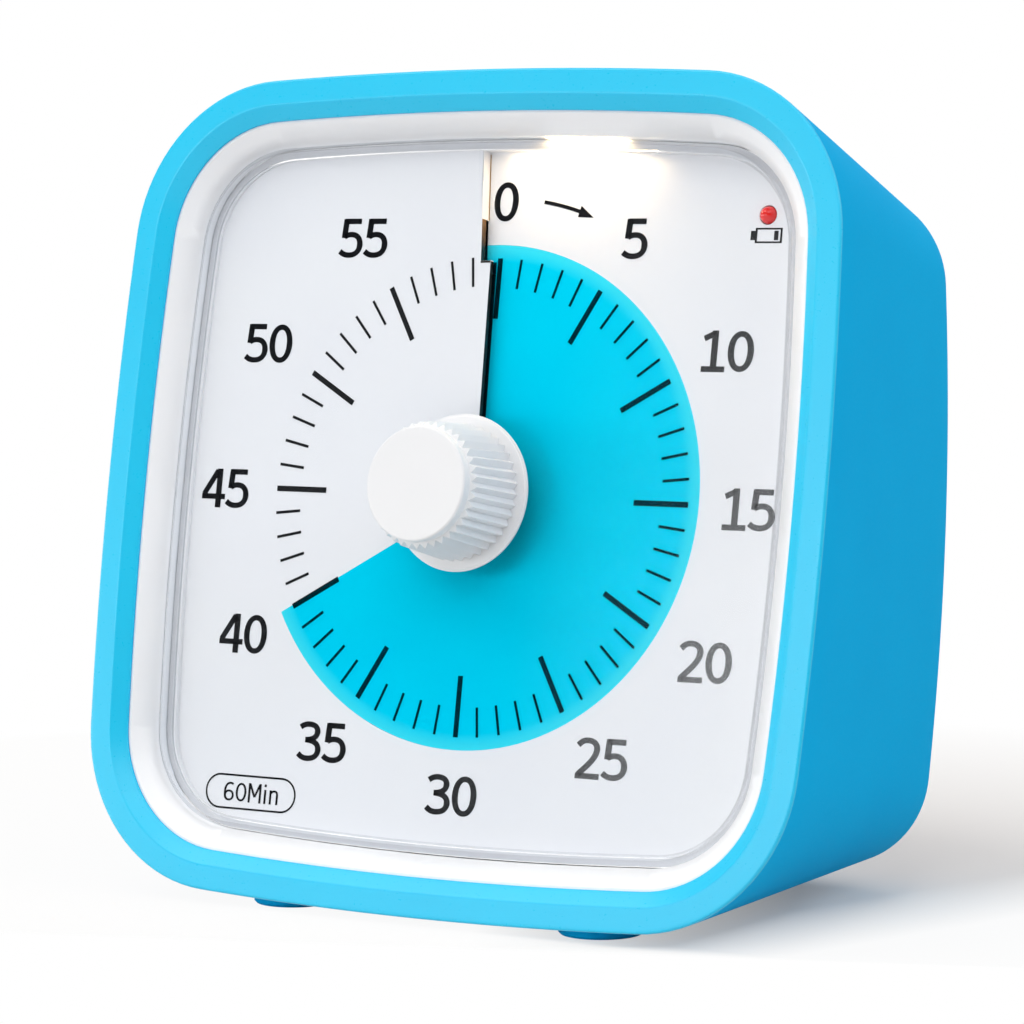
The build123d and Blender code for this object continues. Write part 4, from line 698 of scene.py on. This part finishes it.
# strokes of each figure, in units of the figure's height
FIGURES = {
    "0": [loop(0.29, 0.5, 0.215, 0.425)],
    "1": [[(0.08, 0.80), (0.30, 0.925)], [(0.315, 1.0), (0.315, 0.07)], [(0.05, 0.062), (0.565, 0.062)]],
    "2": [
        curve((0.06, 0.80), (0.12, 0.89), (0.18, 0.93), (0.27, 0.93), (0.40, 0.93), (0.48, 0.85),
              (0.48, 0.73), (0.48, 0.55), (0.34, 0.37), (0.09, 0.10)),
        [(0.03, 0.066), (0.565, 0.066)],
    ],
    "3": [
        curve((0.05, 0.84), (0.11, 0.905), (0.18, 0.93), (0.26, 0.93), (0.39, 0.93), (0.465, 0.865),
              (0.465, 0.755), (0.465, 0.62), (0.36, 0.54), (0.18, 0.535)),
        curve((0.18, 0.535), (0.40, 0.53), (0.505, 0.45), (0.505, 0.30), (0.505, 0.155), (0.41, 0.07),
              (0.25, 0.07), (0.16, 0.07), (0.09, 0.105), (0.03, 0.18)),
    ],
    "4": [[(0.375, 0.95), (0.06, 0.335)], [(0.01, 0.285), (0.59, 0.285)], [(0.425, 1.0), (0.425, 0.0)]],
    "5": [
        [(0.11, 0.934), (0.51, 0.934)], [(0.145, 0.99), (0.117, 0.505)],
        curve((0.12, 0.535), (0.17, 0.575), (0.22, 0.597), (0.285, 0.597), (0.43, 0.597), (0.505, 0.49),
              (0.505, 0.335), (0.505, 0.165), (0.41, 0.07), (0.25, 0.07), (0.16, 0.07), (0.09, 0.105),
              (0.03, 0.17)),
    ],
    "6": [
        curve((0.48, 0.87), (0.43, 0.92), (0.39, 0.93), (0.34, 0.93), (0.16, 0.93), (0.08, 0.76),
              (0.08, 0.44), (0.08, 0.20), (0.16, 0.07), (0.29, 0.07)),
        loop(0.29, 0.30, 0.20, 0.23),
    ],
    "M": [[(0.10, 0.0), (0.10, 1.0)], [(0.12, 0.97), (0.37, 0.30)], [(0.37, 0.30), (0.62, 0.97)],
          [(0.64, 1.0), (0.64, 0.0)]],
    "i": [[(0.09, 0.0), (0.09, 0.72)], [(0.09, 0.87), (0.09, 1.0)]],
    "n": [
        [(0.09, 0.0), (0.09, 0.72)],
        curve((0.09, 0.52), (0.14, 0.64), (0.20, 0.68), (0.28, 0.68),
              (0.38, 0.68), (0.42, 0.61), (0.42, 0.48)) + [(0.42, 0.0)],
    ],
}
# how far each letter moves the next one on; what isn't named is a figure
ADVANCE = {"M": 0.80, "i": 0.27, "n": 0.54}
FIGURE_ADVANCE = 0.605
# what the last character's advance leaves empty after its ink
FIGURE_GAP = 0.025
LETTER_GAP = 0.09
BREADTH = 1.25
# share by which level strokes are thinner than upright ones
THINNER = 0.2
# where each number stands, from the dial's centre
FIGURE_PLACES = {
    0: (0.15, 39.0), 5: (20.29, 34.06), 10: (35.15, 19.67), 15: (40.15, -0.33), 20: (35.84, -19.76),
    25: (22.12, -32.86), 30: (0.15, -39.06), 35: (-20.7, -33.5), 40: (-34.98, -19.78),
    45: (-40.02, -0.27), 50: (-34.98, 19.58), 55: (-20.95, 33.93),
}


def stroke(mesh, points, width, thinner=0.0):
    """Flat band of ink along a path on the dial."""
    closed = math.dist(points[0], points[-1]) < 1e-6
    if closed:
        points = points[:-1]
    sides = []
    count = len(points)
    for k, (x, z) in enumerate(points):
        ahead = points[(k + 1) % count] if closed or k < count - 1 else (x, z)
        behind = points[k - 1] if closed or k > 0 else (x, z)
        dx, dz = ahead[0] - behind[0], ahead[1] - behind[1]
        size = math.hypot(dx, dz) or 1.0
        half = width / 2 * (1 - thinner * abs(dx) / size)
        nx, nz = -dz / size * half, dx / size * half
        sides.append([mesh.verts.new(on_dial(x + s * nx, z + s * nz)) for s in (1, -1)])
    for k in range(count if closed else count - 1):
        one, two = sides[k], sides[(k + 1) % count]
        mesh.faces.new((one[0], one[1], two[1], two[0]))


def figures(mesh, text, centre_x, centre_z, height, width):
    """Sets a line of figures about its centre; width is that of the stroke."""
    reach = [ADVANCE.get(ch, FIGURE_ADVANCE) for ch in text]
    whole = sum(reach) - (LETTER_GAP if text[-1] in ADVANCE else FIGURE_GAP)
    x = centre_x - BREADTH * height * whole / 2
    for ch, step in zip(text, reach):
        for points in FIGURES[ch]:
            scaled = [(x + px * BREADTH * height, centre_z + (pz - 0.5) * height) for px, pz in points]
            # a straight stroke is cut in four, so that it bends with the dial
            if len(scaled) == 2:
                scaled = [tuple(a + (b - a) * t / 4 for a, b in zip(*scaled)) for t in range(5)]
            stroke(mesh, scaled, width, THINNER)
        x += step * BREADTH * height


def arrow(mesh, radius=39.4, half_head=0.78):
    """Curved arrow that shows which way the time is set."""
    angles = [math.radians(a) for a in (8.8, 10.2, 11.6, 13.0, 14.4, 15.8, 17.0)]
    way = [(radius * math.sin(a), radius * math.cos(a)) for a in angles]
    stroke(mesh, way, 0.5)
    tail, base = way[-2:]
    side = Vector((base[1] - tail[1], tail[0] - base[0])).normalized() * half_head
    tip_angle = math.radians(20.4)
    tip = (radius * math.sin(tip_angle), (radius - 0.1) * math.cos(tip_angle))
    head = [tip, (base[0] + side.x, base[1] + side.y), (base[0] - side.x, base[1] - side.y)]
    mesh.faces.new([mesh.verts.new(on_dial(x, z)) for x, z in head])


def battery_sign(mesh):
    """Battery under the lamp: the four sides of its frame, its cap and the bar that is left."""
    for x0, x1, z0, z1 in (
        (37.8, 41.67, 33.5, 33.72), (37.8, 41.67, 35.23, 35.45), (37.8, 38.08, 33.5, 35.45),
        (41.39, 41.67, 33.5, 35.45), (37.15, 37.85, 33.88, 35.07), (40.5, 41.12, 33.88, 35.07),
    ):
        corners = ((x0, z0), (x1, z0), (x1, z1), (x0, z1))
        mesh.faces.new([mesh.verts.new(on_dial(x, z)) for x, z in corners])


def span_sign(mesh, left=-36.5, right_end=-26.5, middle=-41.0, half=2.22):
    """Frame with round ends about the dial's span, in minutes."""
    level = [(right_end - left) * k / 12 for k in range(13)]
    bend = [(half * math.sin(math.pi * k / 16), half * math.cos(math.pi * k / 16)) for k in range(1, 16)]
    ring = [(left + run, middle + half) for run in level]
    ring += [(right_end + out, middle + up) for out, up in bend]
    ring += [(right_end - run, middle - half) for run in level]
    ring += [(left - out, middle - up) for out, up in bend]
    stroke(mesh, ring + ring[:1], 0.26)
    figures(mesh, "60Min", (left + right_end) / 2, middle, 2.6, 0.34)


def dial_print():
    """All that is printed on the dial but the scale: numbers, arrow, battery sign and span."""
    mesh = bmesh.new()
    for minute, (x, z) in FIGURE_PLACES.items():
        figures(mesh, str(minute), x, z, 5.28, 0.92)
    arrow(mesh)
    battery_sign(mesh)
    span_sign(mesh)
    return to_object("dial_print", mesh, ink_black, 60.0, facing=(0, -1, 0))


# ---------------------------------------------------------------- repeated forms, grown by geometry nodes
def grow(name, sizes, material, build, sharp=30.0, facing=None):
    """Makes an object from a node tree with named inputs, in millimetres of the dial's frame."""
    inputs = {**sizes, "Material": material}
    kinds = {int: "NodeSocketInt", float: "NodeSocketFloat"}
    tree = bpy.data.node_groups.new(name, "GeometryNodeTree")
    tree.interface.new_socket("Geometry", in_out="OUTPUT", socket_type="NodeSocketGeometry")
    sockets = {
        label: tree.interface.new_socket(
            label, in_out="INPUT", socket_type=kinds.get(type(value), "NodeSocketMaterial")
        )
        for label, value in inputs.items()
    }
    given = add(tree, "NodeGroupInput").outputs
    real = add(tree, "GeometryNodeRealizeInstances", {"Geometry": build(tree, given)})
    dressed = add(tree, "GeometryNodeSetMaterial", {"Geometry": real, "Material": given["Material"]})
    add(tree, "NodeGroupOutput", {"Geometry": dressed})
    holder = bpy.data.objects.new(name, bpy.data.meshes.new(name))
    scene.collection.objects.link(holder)
    modifier = holder.modifiers.new(name, "NODES")
    modifier.node_group = tree
    for label, value in inputs.items():
        modifier[sockets[label].identifier] = value
    holder.update_tag()
    evaluated = holder.evaluated_get(bpy.context.evaluated_depsgraph_get())
    mesh = bmesh.new()
    mesh.from_mesh(bpy.data.meshes.new_from_object(evaluated))
    bpy.data.objects.remove(holder)
    return to_object(name, mesh, material, sharp, dial_frame, facing)


def tick_ring(tree, given):
    """A ring of radial bars on the dial's screw surface; every fifth is longer and wider."""
    index = add(tree, "GeometryNodeInputIndex")
    share = add(tree, "ShaderNodeMath", {0: index, 1: 2 * math.pi}, operation="MULTIPLY")
    turn = add(tree, "ShaderNodeMath", {0: share, 1: given["Count"]}, operation="DIVIDE")
    place_in_five = add(tree, "ShaderNodeMath", {0: index, 1: given["Major every"]}, operation="MODULO")
    minor = add(tree, "ShaderNodeMath", {0: place_in_five, 1: 1.0}, operation="MINIMUM")
    x = add(tree, "ShaderNodeMath", {0: turn}, operation="SINE")
    y = add(tree, "ShaderNodeMath", {0: turn}, operation="COSINE")
    unit = add(tree, "ShaderNodeCombineXYZ", {"X": x, "Y": y})
    at = add(tree, "ShaderNodeVectorMath", {0: unit, "Scale": given["Outer radius"]}, operation="SCALE")
    spots = add(tree, "GeometryNodePoints", {"Count": given["Count"], "Position": at})
    size = {}
    for label in ("width", "length"):
        major, other = given["Major " + label], given["Minor " + label]
        gap = add(tree, "ShaderNodeMath", {0: other, 1: major}, operation="SUBTRACT")
        size[label] = add(tree, "ShaderNodeMath", {0: gap, 1: minor, 2: major}, operation="MULTIPLY_ADD")
    bar = add(tree, "GeometryNodeMeshGrid", {"Size X": 1.0, "Size Y": 1.0, "Vertices X": 2, "Vertices Y": 5})
    hung = add(tree, "GeometryNodeTransform", {"Geometry": bar, "Translation": (0, -0.5, 0)})
    back_turn = add(tree, "ShaderNodeMath", {0: turn, 1: -1.0}, operation="MULTIPLY")
    bars = add(tree, "GeometryNodeInstanceOnPoints", {
        "Points": spots, "Instance": hung,
        "Rotation": add(tree, "ShaderNodeCombineXYZ", {"Z": back_turn}),
        "Scale": add(tree, "ShaderNodeCombineXYZ", {"X": size["width"], "Y": size["length"], "Z": 1.0}),
    })
    real = add(tree, "GeometryNodeRealizeInstances", {"Geometry": bars})
    # each point is lifted onto the dial, by its own angle counted from the slit
    point = add(tree, "ShaderNodeSeparateXYZ", {"Vector": add(tree, "GeometryNodeInputPosition")}).outputs
    angle = add(tree, "ShaderNodeMath", {0: point["X"], 1: point["Y"]}, operation="ARCTAN2")
    slit = add(tree, "ShaderNodeMath", {0: given["Slit angle"], 1: -math.pi / 180}, operation="MULTIPLY")
    before = add(tree, "ShaderNodeMath", {0: angle, 1: slit}, operation="LESS_THAN")
    counted = add(tree, "ShaderNodeMath", {0: before, 1: 2 * math.pi, 2: angle}, operation="MULTIPLY_ADD")
    part = add(tree, "ShaderNodeMath", {0: counted, 1: 2 * math.pi}, operation="DIVIDE")
    fall = add(tree, "ShaderNodeMath", {0: part, 1: 0.5}, operation="SUBTRACT")
    lift = add(tree, "ShaderNodeMath", {
        0: fall, 1: given["Rise per turn"], 2: given["Ink lift"],
    }, operation="MULTIPLY_ADD")
    offset = add(tree, "ShaderNodeCombineXYZ", {"Z": lift})
    return add(tree, "GeometryNodeSetPosition", {"Geometry": real, "Offset": offset})


def ridge_ring(tree, given):
    """Pointed ridges round a barrel that narrows forwards, ended by a steep cone. Local Z is the axis."""
    # one ridge from a grid of nine points: valley, crest, valley across; back, front, neck along
    blank = add(tree, "GeometryNodeMeshGrid", {
        "Size X": 2.0, "Size Y": 2.0, "Vertices X": 3, "Vertices Y": 3,
    })
    cell = add(tree, "ShaderNodeSeparateXYZ", {"Vector": add(tree, "GeometryNodeInputPosition")}).outputs
    off_crest = add(tree, "ShaderNodeMath", {0: cell["X"]}, operation="ABSOLUTE")
    crest = add(tree, "ShaderNodeMath", {0: 1.0, 1: off_crest}, operation="SUBTRACT")
    backwards = add(tree, "ShaderNodeMath", {0: cell["Y"], 1: -1.0}, operation="MULTIPLY")
    at_back = add(tree, "ShaderNodeMath", {0: backwards, 1: 0.0}, operation="MAXIMUM")
    at_neck = add(tree, "ShaderNodeMath", {0: cell["Y"], 1: 0.0}, operation="MAXIMUM")
    off_front = add(tree, "ShaderNodeMath", {0: cell["Y"]}, operation="ABSOLUTE")
    at_front = add(tree, "ShaderNodeMath", {0: 1.0, 1: off_front}, operation="SUBTRACT")

    def across(valley, tip):
        """A size that goes from the valley's to the tip's."""
        gap = add(tree, "ShaderNodeMath", {0: given[tip], 1: given[valley]}, operation="SUBTRACT")
        return add(tree, "ShaderNodeMath", {0: gap, 1: crest, 2: given[valley]}, operation="MULTIPLY_ADD")

    def along(back, front, neck):
        """A size that goes from the back's through the front's to the neck's."""
        total = add(tree, "ShaderNodeMath", {0: at_back, 1: back}, operation="MULTIPLY")
        for weight, size in ((at_front, front), (at_neck, neck)):
            total = add(tree, "ShaderNodeMath", {0: weight, 1: size, 2: total}, operation="MULTIPLY_ADD")
        return total

    back_radius = across("Back valley", "Back tip")
    radius = along(back_radius, across("Front valley", "Front tip"), given["Neck radius"])
    axial = along(given["Back"], across("Valley end", "Tip end"), given["Neck"])
    half_pitch = add(tree, "ShaderNodeMath", {0: math.pi, 1: given["Count"]}, operation="DIVIDE")
    angle = add(tree, "ShaderNodeMath", {0: cell["X"], 1: half_pitch}, operation="MULTIPLY")
    cosine = add(tree, "ShaderNodeMath", {0: angle}, operation="COSINE")
    sine = add(tree, "ShaderNodeMath", {0: angle}, operation="SINE")
    ridge = add(tree, "GeometryNodeSetPosition", {
        "Geometry": blank,
        "Position": add(tree, "ShaderNodeCombineXYZ", {
            "X": add(tree, "ShaderNodeMath", {0: radius, 1: cosine}, operation="MULTIPLY"),
            "Y": add(tree, "ShaderNodeMath", {0: radius, 1: sine}, operation="MULTIPLY"),
            "Z": axial,
        }),
    })
    pitch = add(tree, "ShaderNodeMath", {0: half_pitch, 1: 2.0}, operation="MULTIPLY")
    index = add(tree, "GeometryNodeInputIndex")
    turn = add(tree, "ShaderNodeMath", {0: index, 1: pitch}, operation="MULTIPLY")
    return add(tree, "GeometryNodeInstanceOnPoints", {
        "Points": add(tree, "GeometryNodePoints", {"Count": given["Count"]}),
        "Instance": ridge,
        "Rotation": add(tree, "ShaderNodeCombineXYZ", {"Z": turn}),
    })


def dial_ticks():
    """The scale: a tick for each minute."""
    return grow("dial_ticks", {
        "Count": 60, "Major every": 5, "Outer radius": 31.5, "Major length": 8.0, "Minor length": 3.9,
        "Major width": 0.75, "Minor width": 0.38, "Rise per turn": DIAL_PITCH, "Slit angle": SLIT_ANGLE,
        "Ink lift": INK_LIFT,
    }, ink_flat, tick_ring, facing=(0, 0, 1))


def knob_ridges():
    """Grip of the knob, from the flange to the neck."""
    return grow("knob_ridges", {
        "Count": 40, "Back valley": 8.35, "Back tip": 9.0, "Back": 4.39, "Front valley": 7.563,
        "Front tip": 8.25, "Valley end": 13.39, "Tip end": 13.0, "Neck radius": 7.45, "Neck": 13.45,
    }, abs_knob, ridge_ring, sharp=20.0)


def knob_body():
    """Flange, barrel inside the ridges, neck and face, turned about the shaft."""
    # (radius, y): the flange's back and rounded edge
    profile = [(0.0, -3.8), (10.1, -3.8), (10.24, -3.86), (10.3, -4.0), (10.3, -4.16), (10.24, -4.26)]
    # a small step on the flange, the barrel and the neck
    profile += [(10.06, -4.28), (10.0, -4.3), (9.97, -4.38), (9.9, -4.4), (9.6, -4.4), (8.2, -4.4)]
    profile += [(7.42, -13.3), (7.45, -13.45), (7.45, -14.0)]
    # the face's rounded edge, and the face
    for k in range(7):
        turn = math.radians(90 * k / 6)
        profile.append((7.1 + 0.35 * math.cos(turn), -14.5 - 0.35 * math.sin(turn)))
    profile += [(6.6, -14.85), (3.0, -14.85), (0.0, -14.85)]
    turns = [math.tau * k / 160 for k in range(160)]
    mesh = bmesh.new()
    skin(mesh, [[round_shaft(radius, y, turn) for turn in turns] for radius, y in profile])
    return to_object("knob_body", mesh, abs_knob, 32.0)


def band(mesh, rows):
    """Quads between successive pairs of points."""
    rows = [[mesh.verts.new(point) for point in row] for row in rows]
    for one, two in zip(rows, rows[1:]):
        mesh.faces.new((one[0], one[1], two[1], two[0]))


def slit_ink():
    """Black edge along the raised side of the slit, round its jog and on the lip over the slot."""
    mesh = bmesh.new()
    # just off the cut edge's face
    aside = 0.02
    for angle, radii, width in (
        (SLIT_ANGLE, (7.1, 15.0, 23.0, 30.9), 0.69),
        (SLOT_ANGLE, (SLIT_JOG + 0.02, 33.0, SLOT_OUTER), 0.98),
    ):
        turn = math.radians(-angle)
        across = Vector((math.cos(turn), 0, -math.sin(turn)))
        top = dial_y(360 - angle) + 0.01
        # down the edge
        band(mesh, [
            [round_shaft(radius, y, turn) + across * aside for y in (top, top + width)] for radius in radii
        ])
    # along the jog, on the dial's face
    low, high = math.radians(-SLOT_ANGLE), math.radians(-SLIT_ANGLE)
    turns = [low + (high - low) * k / 4 for k in range(5)]
    band(mesh, [
        [round_shaft(radius, dial_y(360 + math.degrees(turn)) - INK_LIFT, turn)
         for radius in (SLIT_JOG - 0.02, SLIT_JOG - 0.3)]
        for turn in turns
    ])
    return to_object("slit_edge_black_band", mesh, slit_edge_black_and_lamp_light, 60.0, facing=(1, -1, 0))


def slit_foot():
    """Painted shade in the crease at the foot of the step: a tan line from the slot to the dial's edge."""
    mesh = bmesh.new()
    turn = math.radians(-SLOT_ANGLE)
    across = Vector((math.cos(turn), 0, -math.sin(turn)))
    low = dial_y(-SLOT_ANGLE) - INK_LIFT
    band(mesh, [
        [round_shaft(radius, low, turn) + across * step for step in (0.03, 0.17)]
        for radius in (SLOT_OUTER, 39.0, 42.0, 45.4)
    ])
    return to_object("slit_foot_shade_line", mesh, crease_shade_tan, 60.0, facing=(0, -1, 0))


# ---------------------------------------------------------------- pieces on their bodies
def fit(piece, body, *stands_for):
    """Puts a piece on its body, in place of the CAD nodes that it stands for."""
    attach(piece, body)
    if stands_for:
        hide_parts(*stands_for)


fit(silicone_sleeve(), "case", "silicone_sleeve")
fit(lens_tray(), "case", "lens")
fit(countdown_film(), "disc", "countdown_disc")
fit(dial_print(), "case")
fit(dial_ticks(), "case")
fit(slit_ink(), "case")
fit(slit_foot(), "case")
fit(knob_body(), "knob_set", "knob")
fit(knob_ridges(), "knob_set", "knob")

# mouldings that keep the solid's form, with smooth rounds
for node, material in {
    "front_bezel": abs_white, "dial_plate": styrene_white, "rear_housing": abs_white_rear,
    "battery_door": abs_white_rear, "volume_slider": abs_white, "light_slider": abs_white,
    "feet": silicone_wall_painted_shade, "movement_case": nylon_black, "low_battery_led": epoxy_red,
}.items():
    softened(node, material)

# solids that keep their own form
for node, material in {
    "dial_screws": steel_plated, "disc_hub": acetal_white, "shaft": steel_ground,
    "shaft_bush": brass_turned, "retaining_clip": nickel_plate, "clutch_spring": nickel_plate,
    "output_wheel": acetal_white, "third_wheel": acetal_white, "second_wheel": acetal_white,
    "rotor_pinion": acetal_white, "rotor_magnet": ferrite_dark, "wheel_arbors": steel_ground,
    "movement_front_plate": nylon_black, "movement_screws": steel_plated, "stator": steel_laminated,
    "coil_bobbin": nylon_black, "coil_winding": copper_enamelled, "coil_leads": pvc_red,
    "case_screws": steel_plated, "aa_cells": jacket_printed, "battery_plates": nickel_plate,
    "battery_springs": nickel_plate, "battery_leads": pvc_red, "main_pcb": solder_mask_green,
    "pcb_screws": steel_plated, "controller_chip": phenolic_black, "crystal": tin_plate,
    "capacitor": aluminium_drawn, "buzzer": phenolic_black, "volume_switch": tin_plate,
    "light_switch": tin_plate, "night_light_board": solder_mask_green,
    "night_light_leds": phosphor_warm, "night_light_leads": pvc_white,
    "led_board": solder_mask_green, "low_battery_leads": pvc_white,
}.items():
    data = nodes[node].data
    if data.materials:
        for k in range(len(data.materials)):
            data.materials[k] = material
    else:
        data.materials.append(material)


# ---------------------------------------------------------------- floor, world and lamps
def floor():
    """Matte white sheet: keeps the object's shadow near it and runs out into plain white."""
    size = 6.0
    corners = [(-size, -size, 0), (size, -size, 0), (size, size, 0), (-size, size, 0)]
    data = bpy.data.meshes.new("floor")
    data.from_pydata(corners, [], [(0, 1, 2, 3)])
    material, tree, place = new_material("paper_matte_white")
    light = add(tree, "ShaderNodeLightPath").outputs
    seen = add(tree, "ShaderNodeMath", {
        0: light["Is Camera Ray"], 1: light["Is Glossy Ray"],
    }, operation="MAXIMUM")
    seen = add(tree, "ShaderNodeMath", {0: seen, 1: light["Is Transmission Ray"]}, operation="MAXIMUM")
    distance = add(tree, "ShaderNodeVectorMath", {0: place}, operation="LENGTH")
    far = add(tree, "ShaderNodeMapRange", {"Value": distance, "From Min": 0.07, "From Max": 0.19})
    # the shadow falls to the right and behind; it thins to a trace in front and further to the right
    for way, start, end, low, high in (
        ((0.8, 0.35, 0), -0.004, 0.030, 0.92, 0.0),
        ((0.336, -0.942, 0), 0.035, 0.045, 0.0, 1.0),
        ((1.0, -0.3, 0), 0.036, 0.060, 0.0, 0.9),
    ):
        reach = add(tree, "ShaderNodeVectorMath", {0: place, 1: way}, operation="DOT_PRODUCT")
        share = add(tree, "ShaderNodeMapRange", {
            "Value": reach, "From Min": start, "From Max": end, "To Min": low, "To Max": high,
        })
        far = add(tree, "ShaderNodeMath", {0: far, 1: share}, operation="MAXIMUM")
    fibre = add(tree, "ShaderNodeTexNoise", {"Vector": place, "Scale": 1 / (2 * MM)})
    sheet = add(tree, "ShaderNodeBsdfPrincipled", {
        "Base Color": srgb("#D6D2CE"),
        "Roughness": add(tree, "ShaderNodeMapRange", {
            "Value": fibre, **SPAN, "To Min": 0.86, "To Max": 0.94,
        }),
        "Specular IOR Level": 0.1,
    })
    lift = add(tree, "ShaderNodeEmission", {
        "Color": srgb("#FFFFFF"),
        "Strength": add(tree, "ShaderNodeMath", {0: seen, 1: 0.18}, operation="MULTIPLY"),
    })
    near = add(tree, "ShaderNodeAddShader", {0: sheet, 1: lift})
    white = add(tree, "ShaderNodeEmission", {"Color": srgb("#FFFFFF"), "Strength": 1.0})
    share = add(tree, "ShaderNodeMath", {0: seen, 1: far}, operation="MULTIPLY")
    add(tree, "ShaderNodeOutputMaterial", {
        "Surface": add(tree, "ShaderNodeMixShader", {"Fac": share, 1: near, 2: white}),
    })
    data.materials.append(material)
    made = bpy.data.objects.new("floor", data)
    scene.collection.objects.link(made)


def studio():
    """White for what is seen directly or mirrored from behind; a dimmer cool room for what is lit."""
    world = bpy.data.worlds.new("studio")
    scene.world = world
    world.use_nodes = True
    tree = world.node_tree
    tree.nodes.clear()
    light = add(tree, "ShaderNodeLightPath").outputs
    way = add(tree, "ShaderNodeTexCoord").outputs["Generated"]
    depth = add(tree, "ShaderNodeSeparateXYZ", {"Vector": way}).outputs["Y"]
    behind = add(tree, "ShaderNodeMapRange", {"Value": depth, "From Min": -0.2, "From Max": 0.2})
    mirrored = add(tree, "ShaderNodeMath", {0: light["Is Glossy Ray"], 1: behind}, operation="MULTIPLY")
    seen = add(tree, "ShaderNodeMath", {
        0: light["Is Camera Ray"], 1: light["Is Transmission Ray"],
    }, operation="MAXIMUM")
    seen = add(tree, "ShaderNodeMath", {0: seen, 1: mirrored}, operation="MAXIMUM")
    strength = add(tree, "ShaderNodeMath", {
        0: light["Is Glossy Ray"], 1: -0.31, 2: 0.365,
    }, operation="MULTIPLY_ADD")
    room = add(tree, "ShaderNodeBackground", {"Color": srgb("#F4F7FF"), "Strength": strength})
    white = add(tree, "ShaderNodeBackground", {"Color": srgb("#FFFFFF"), "Strength": 1.0})
    both = add(tree, "ShaderNodeMixShader", {"Fac": seen, 1: room, 2: white})
    add(tree, "ShaderNodeOutputWorld", {"Surface": both})


def softbox(name, stand, width, height, watts, colour, aim=(0, 0, 0.05), fade=None):
    """Rectangular lamp; fade gives the shares of width and height over which its edges dim."""
    data = bpy.data.lights.new(name, "AREA")
    data.shape = "RECTANGLE"
    data.size = width
    data.size_y = height
    data.energy = watts
    data.color = srgb(colour)[:3]
    if fade:
        data.use_nodes = True
        tree = data.node_tree
        tree.nodes.clear()
        spot = add(tree, "ShaderNodeNewGeometry").outputs["Parametric"]
        spot = add(tree, "ShaderNodeSeparateXYZ", {"Vector": spot}).outputs
        share = 1.0
        for axis, part in zip("XY", fade):
            from_edge = add(tree, "ShaderNodeMath", {0: spot[axis], 1: 0.5}, operation="PINGPONG")
            dim = add(tree, "ShaderNodeMapRange", {"Value": from_edge, "From Max": part})
            share = add(tree, "ShaderNodeMath", {0: share, 1: dim}, operation="MULTIPLY")
        glow = add(tree, "ShaderNodeEmission", {"Color": srgb("#FFFFFF"), "Strength": share})
        add(tree, "ShaderNodeOutputLight", {"Surface": glow})
    made = bpy.data.objects.new(name, data)
    made.location = stand
    made.rotation_euler = (Vector(aim) - Vector(stand)).to_track_quat("-Z", "Y").to_euler()
    scene.collection.objects.link(made)


floor()
studio()
softbox("key", (-0.9, -0.8, 1.35), 1.1, 1.0, 9.0, "#FFFAF3")
# mirrored by the ink and the rim at the lower right
softbox("front", (-0.400, -1.12, 0.2575), 0.5, 0.475, 4.0, "#FFFFFF", fade=(0.2, 0.45))
# low at the left, for the sheen on the rim
softbox("left", (-1.1, -0.69, 0.06), 0.9, 0.40, 4.4, "#FFFFFF")
softbox("right", (0.35, -0.95, 1.0), 0.8, 0.8, 3.8, "#FFFFFF")
softbox("top", (0.0, -0.3, 1.3), 0.8, 0.8, 3.0, "#FFF3E2")
softbox("side", (1.3, -0.15, 1.0), 0.9, 0.9, 7.0, "#F2F7FF")
# from behind and the left, so that the right side keeps its depth of colour
softbox("behind", (-0.45, 1.25, 1.3), 0.9, 0.9, 3.5, "#F6F9FF")
# what the night light throws into the gap between lens and dial
night_light = case(12.5, -0.9, 45.3)
softbox("night_light", night_light, 0.022, 0.0010, 0.0024, "#FFDFB0", aim=case(12.5, 0.5, 39.0))

scene.view_settings.view_transform = "Standard"
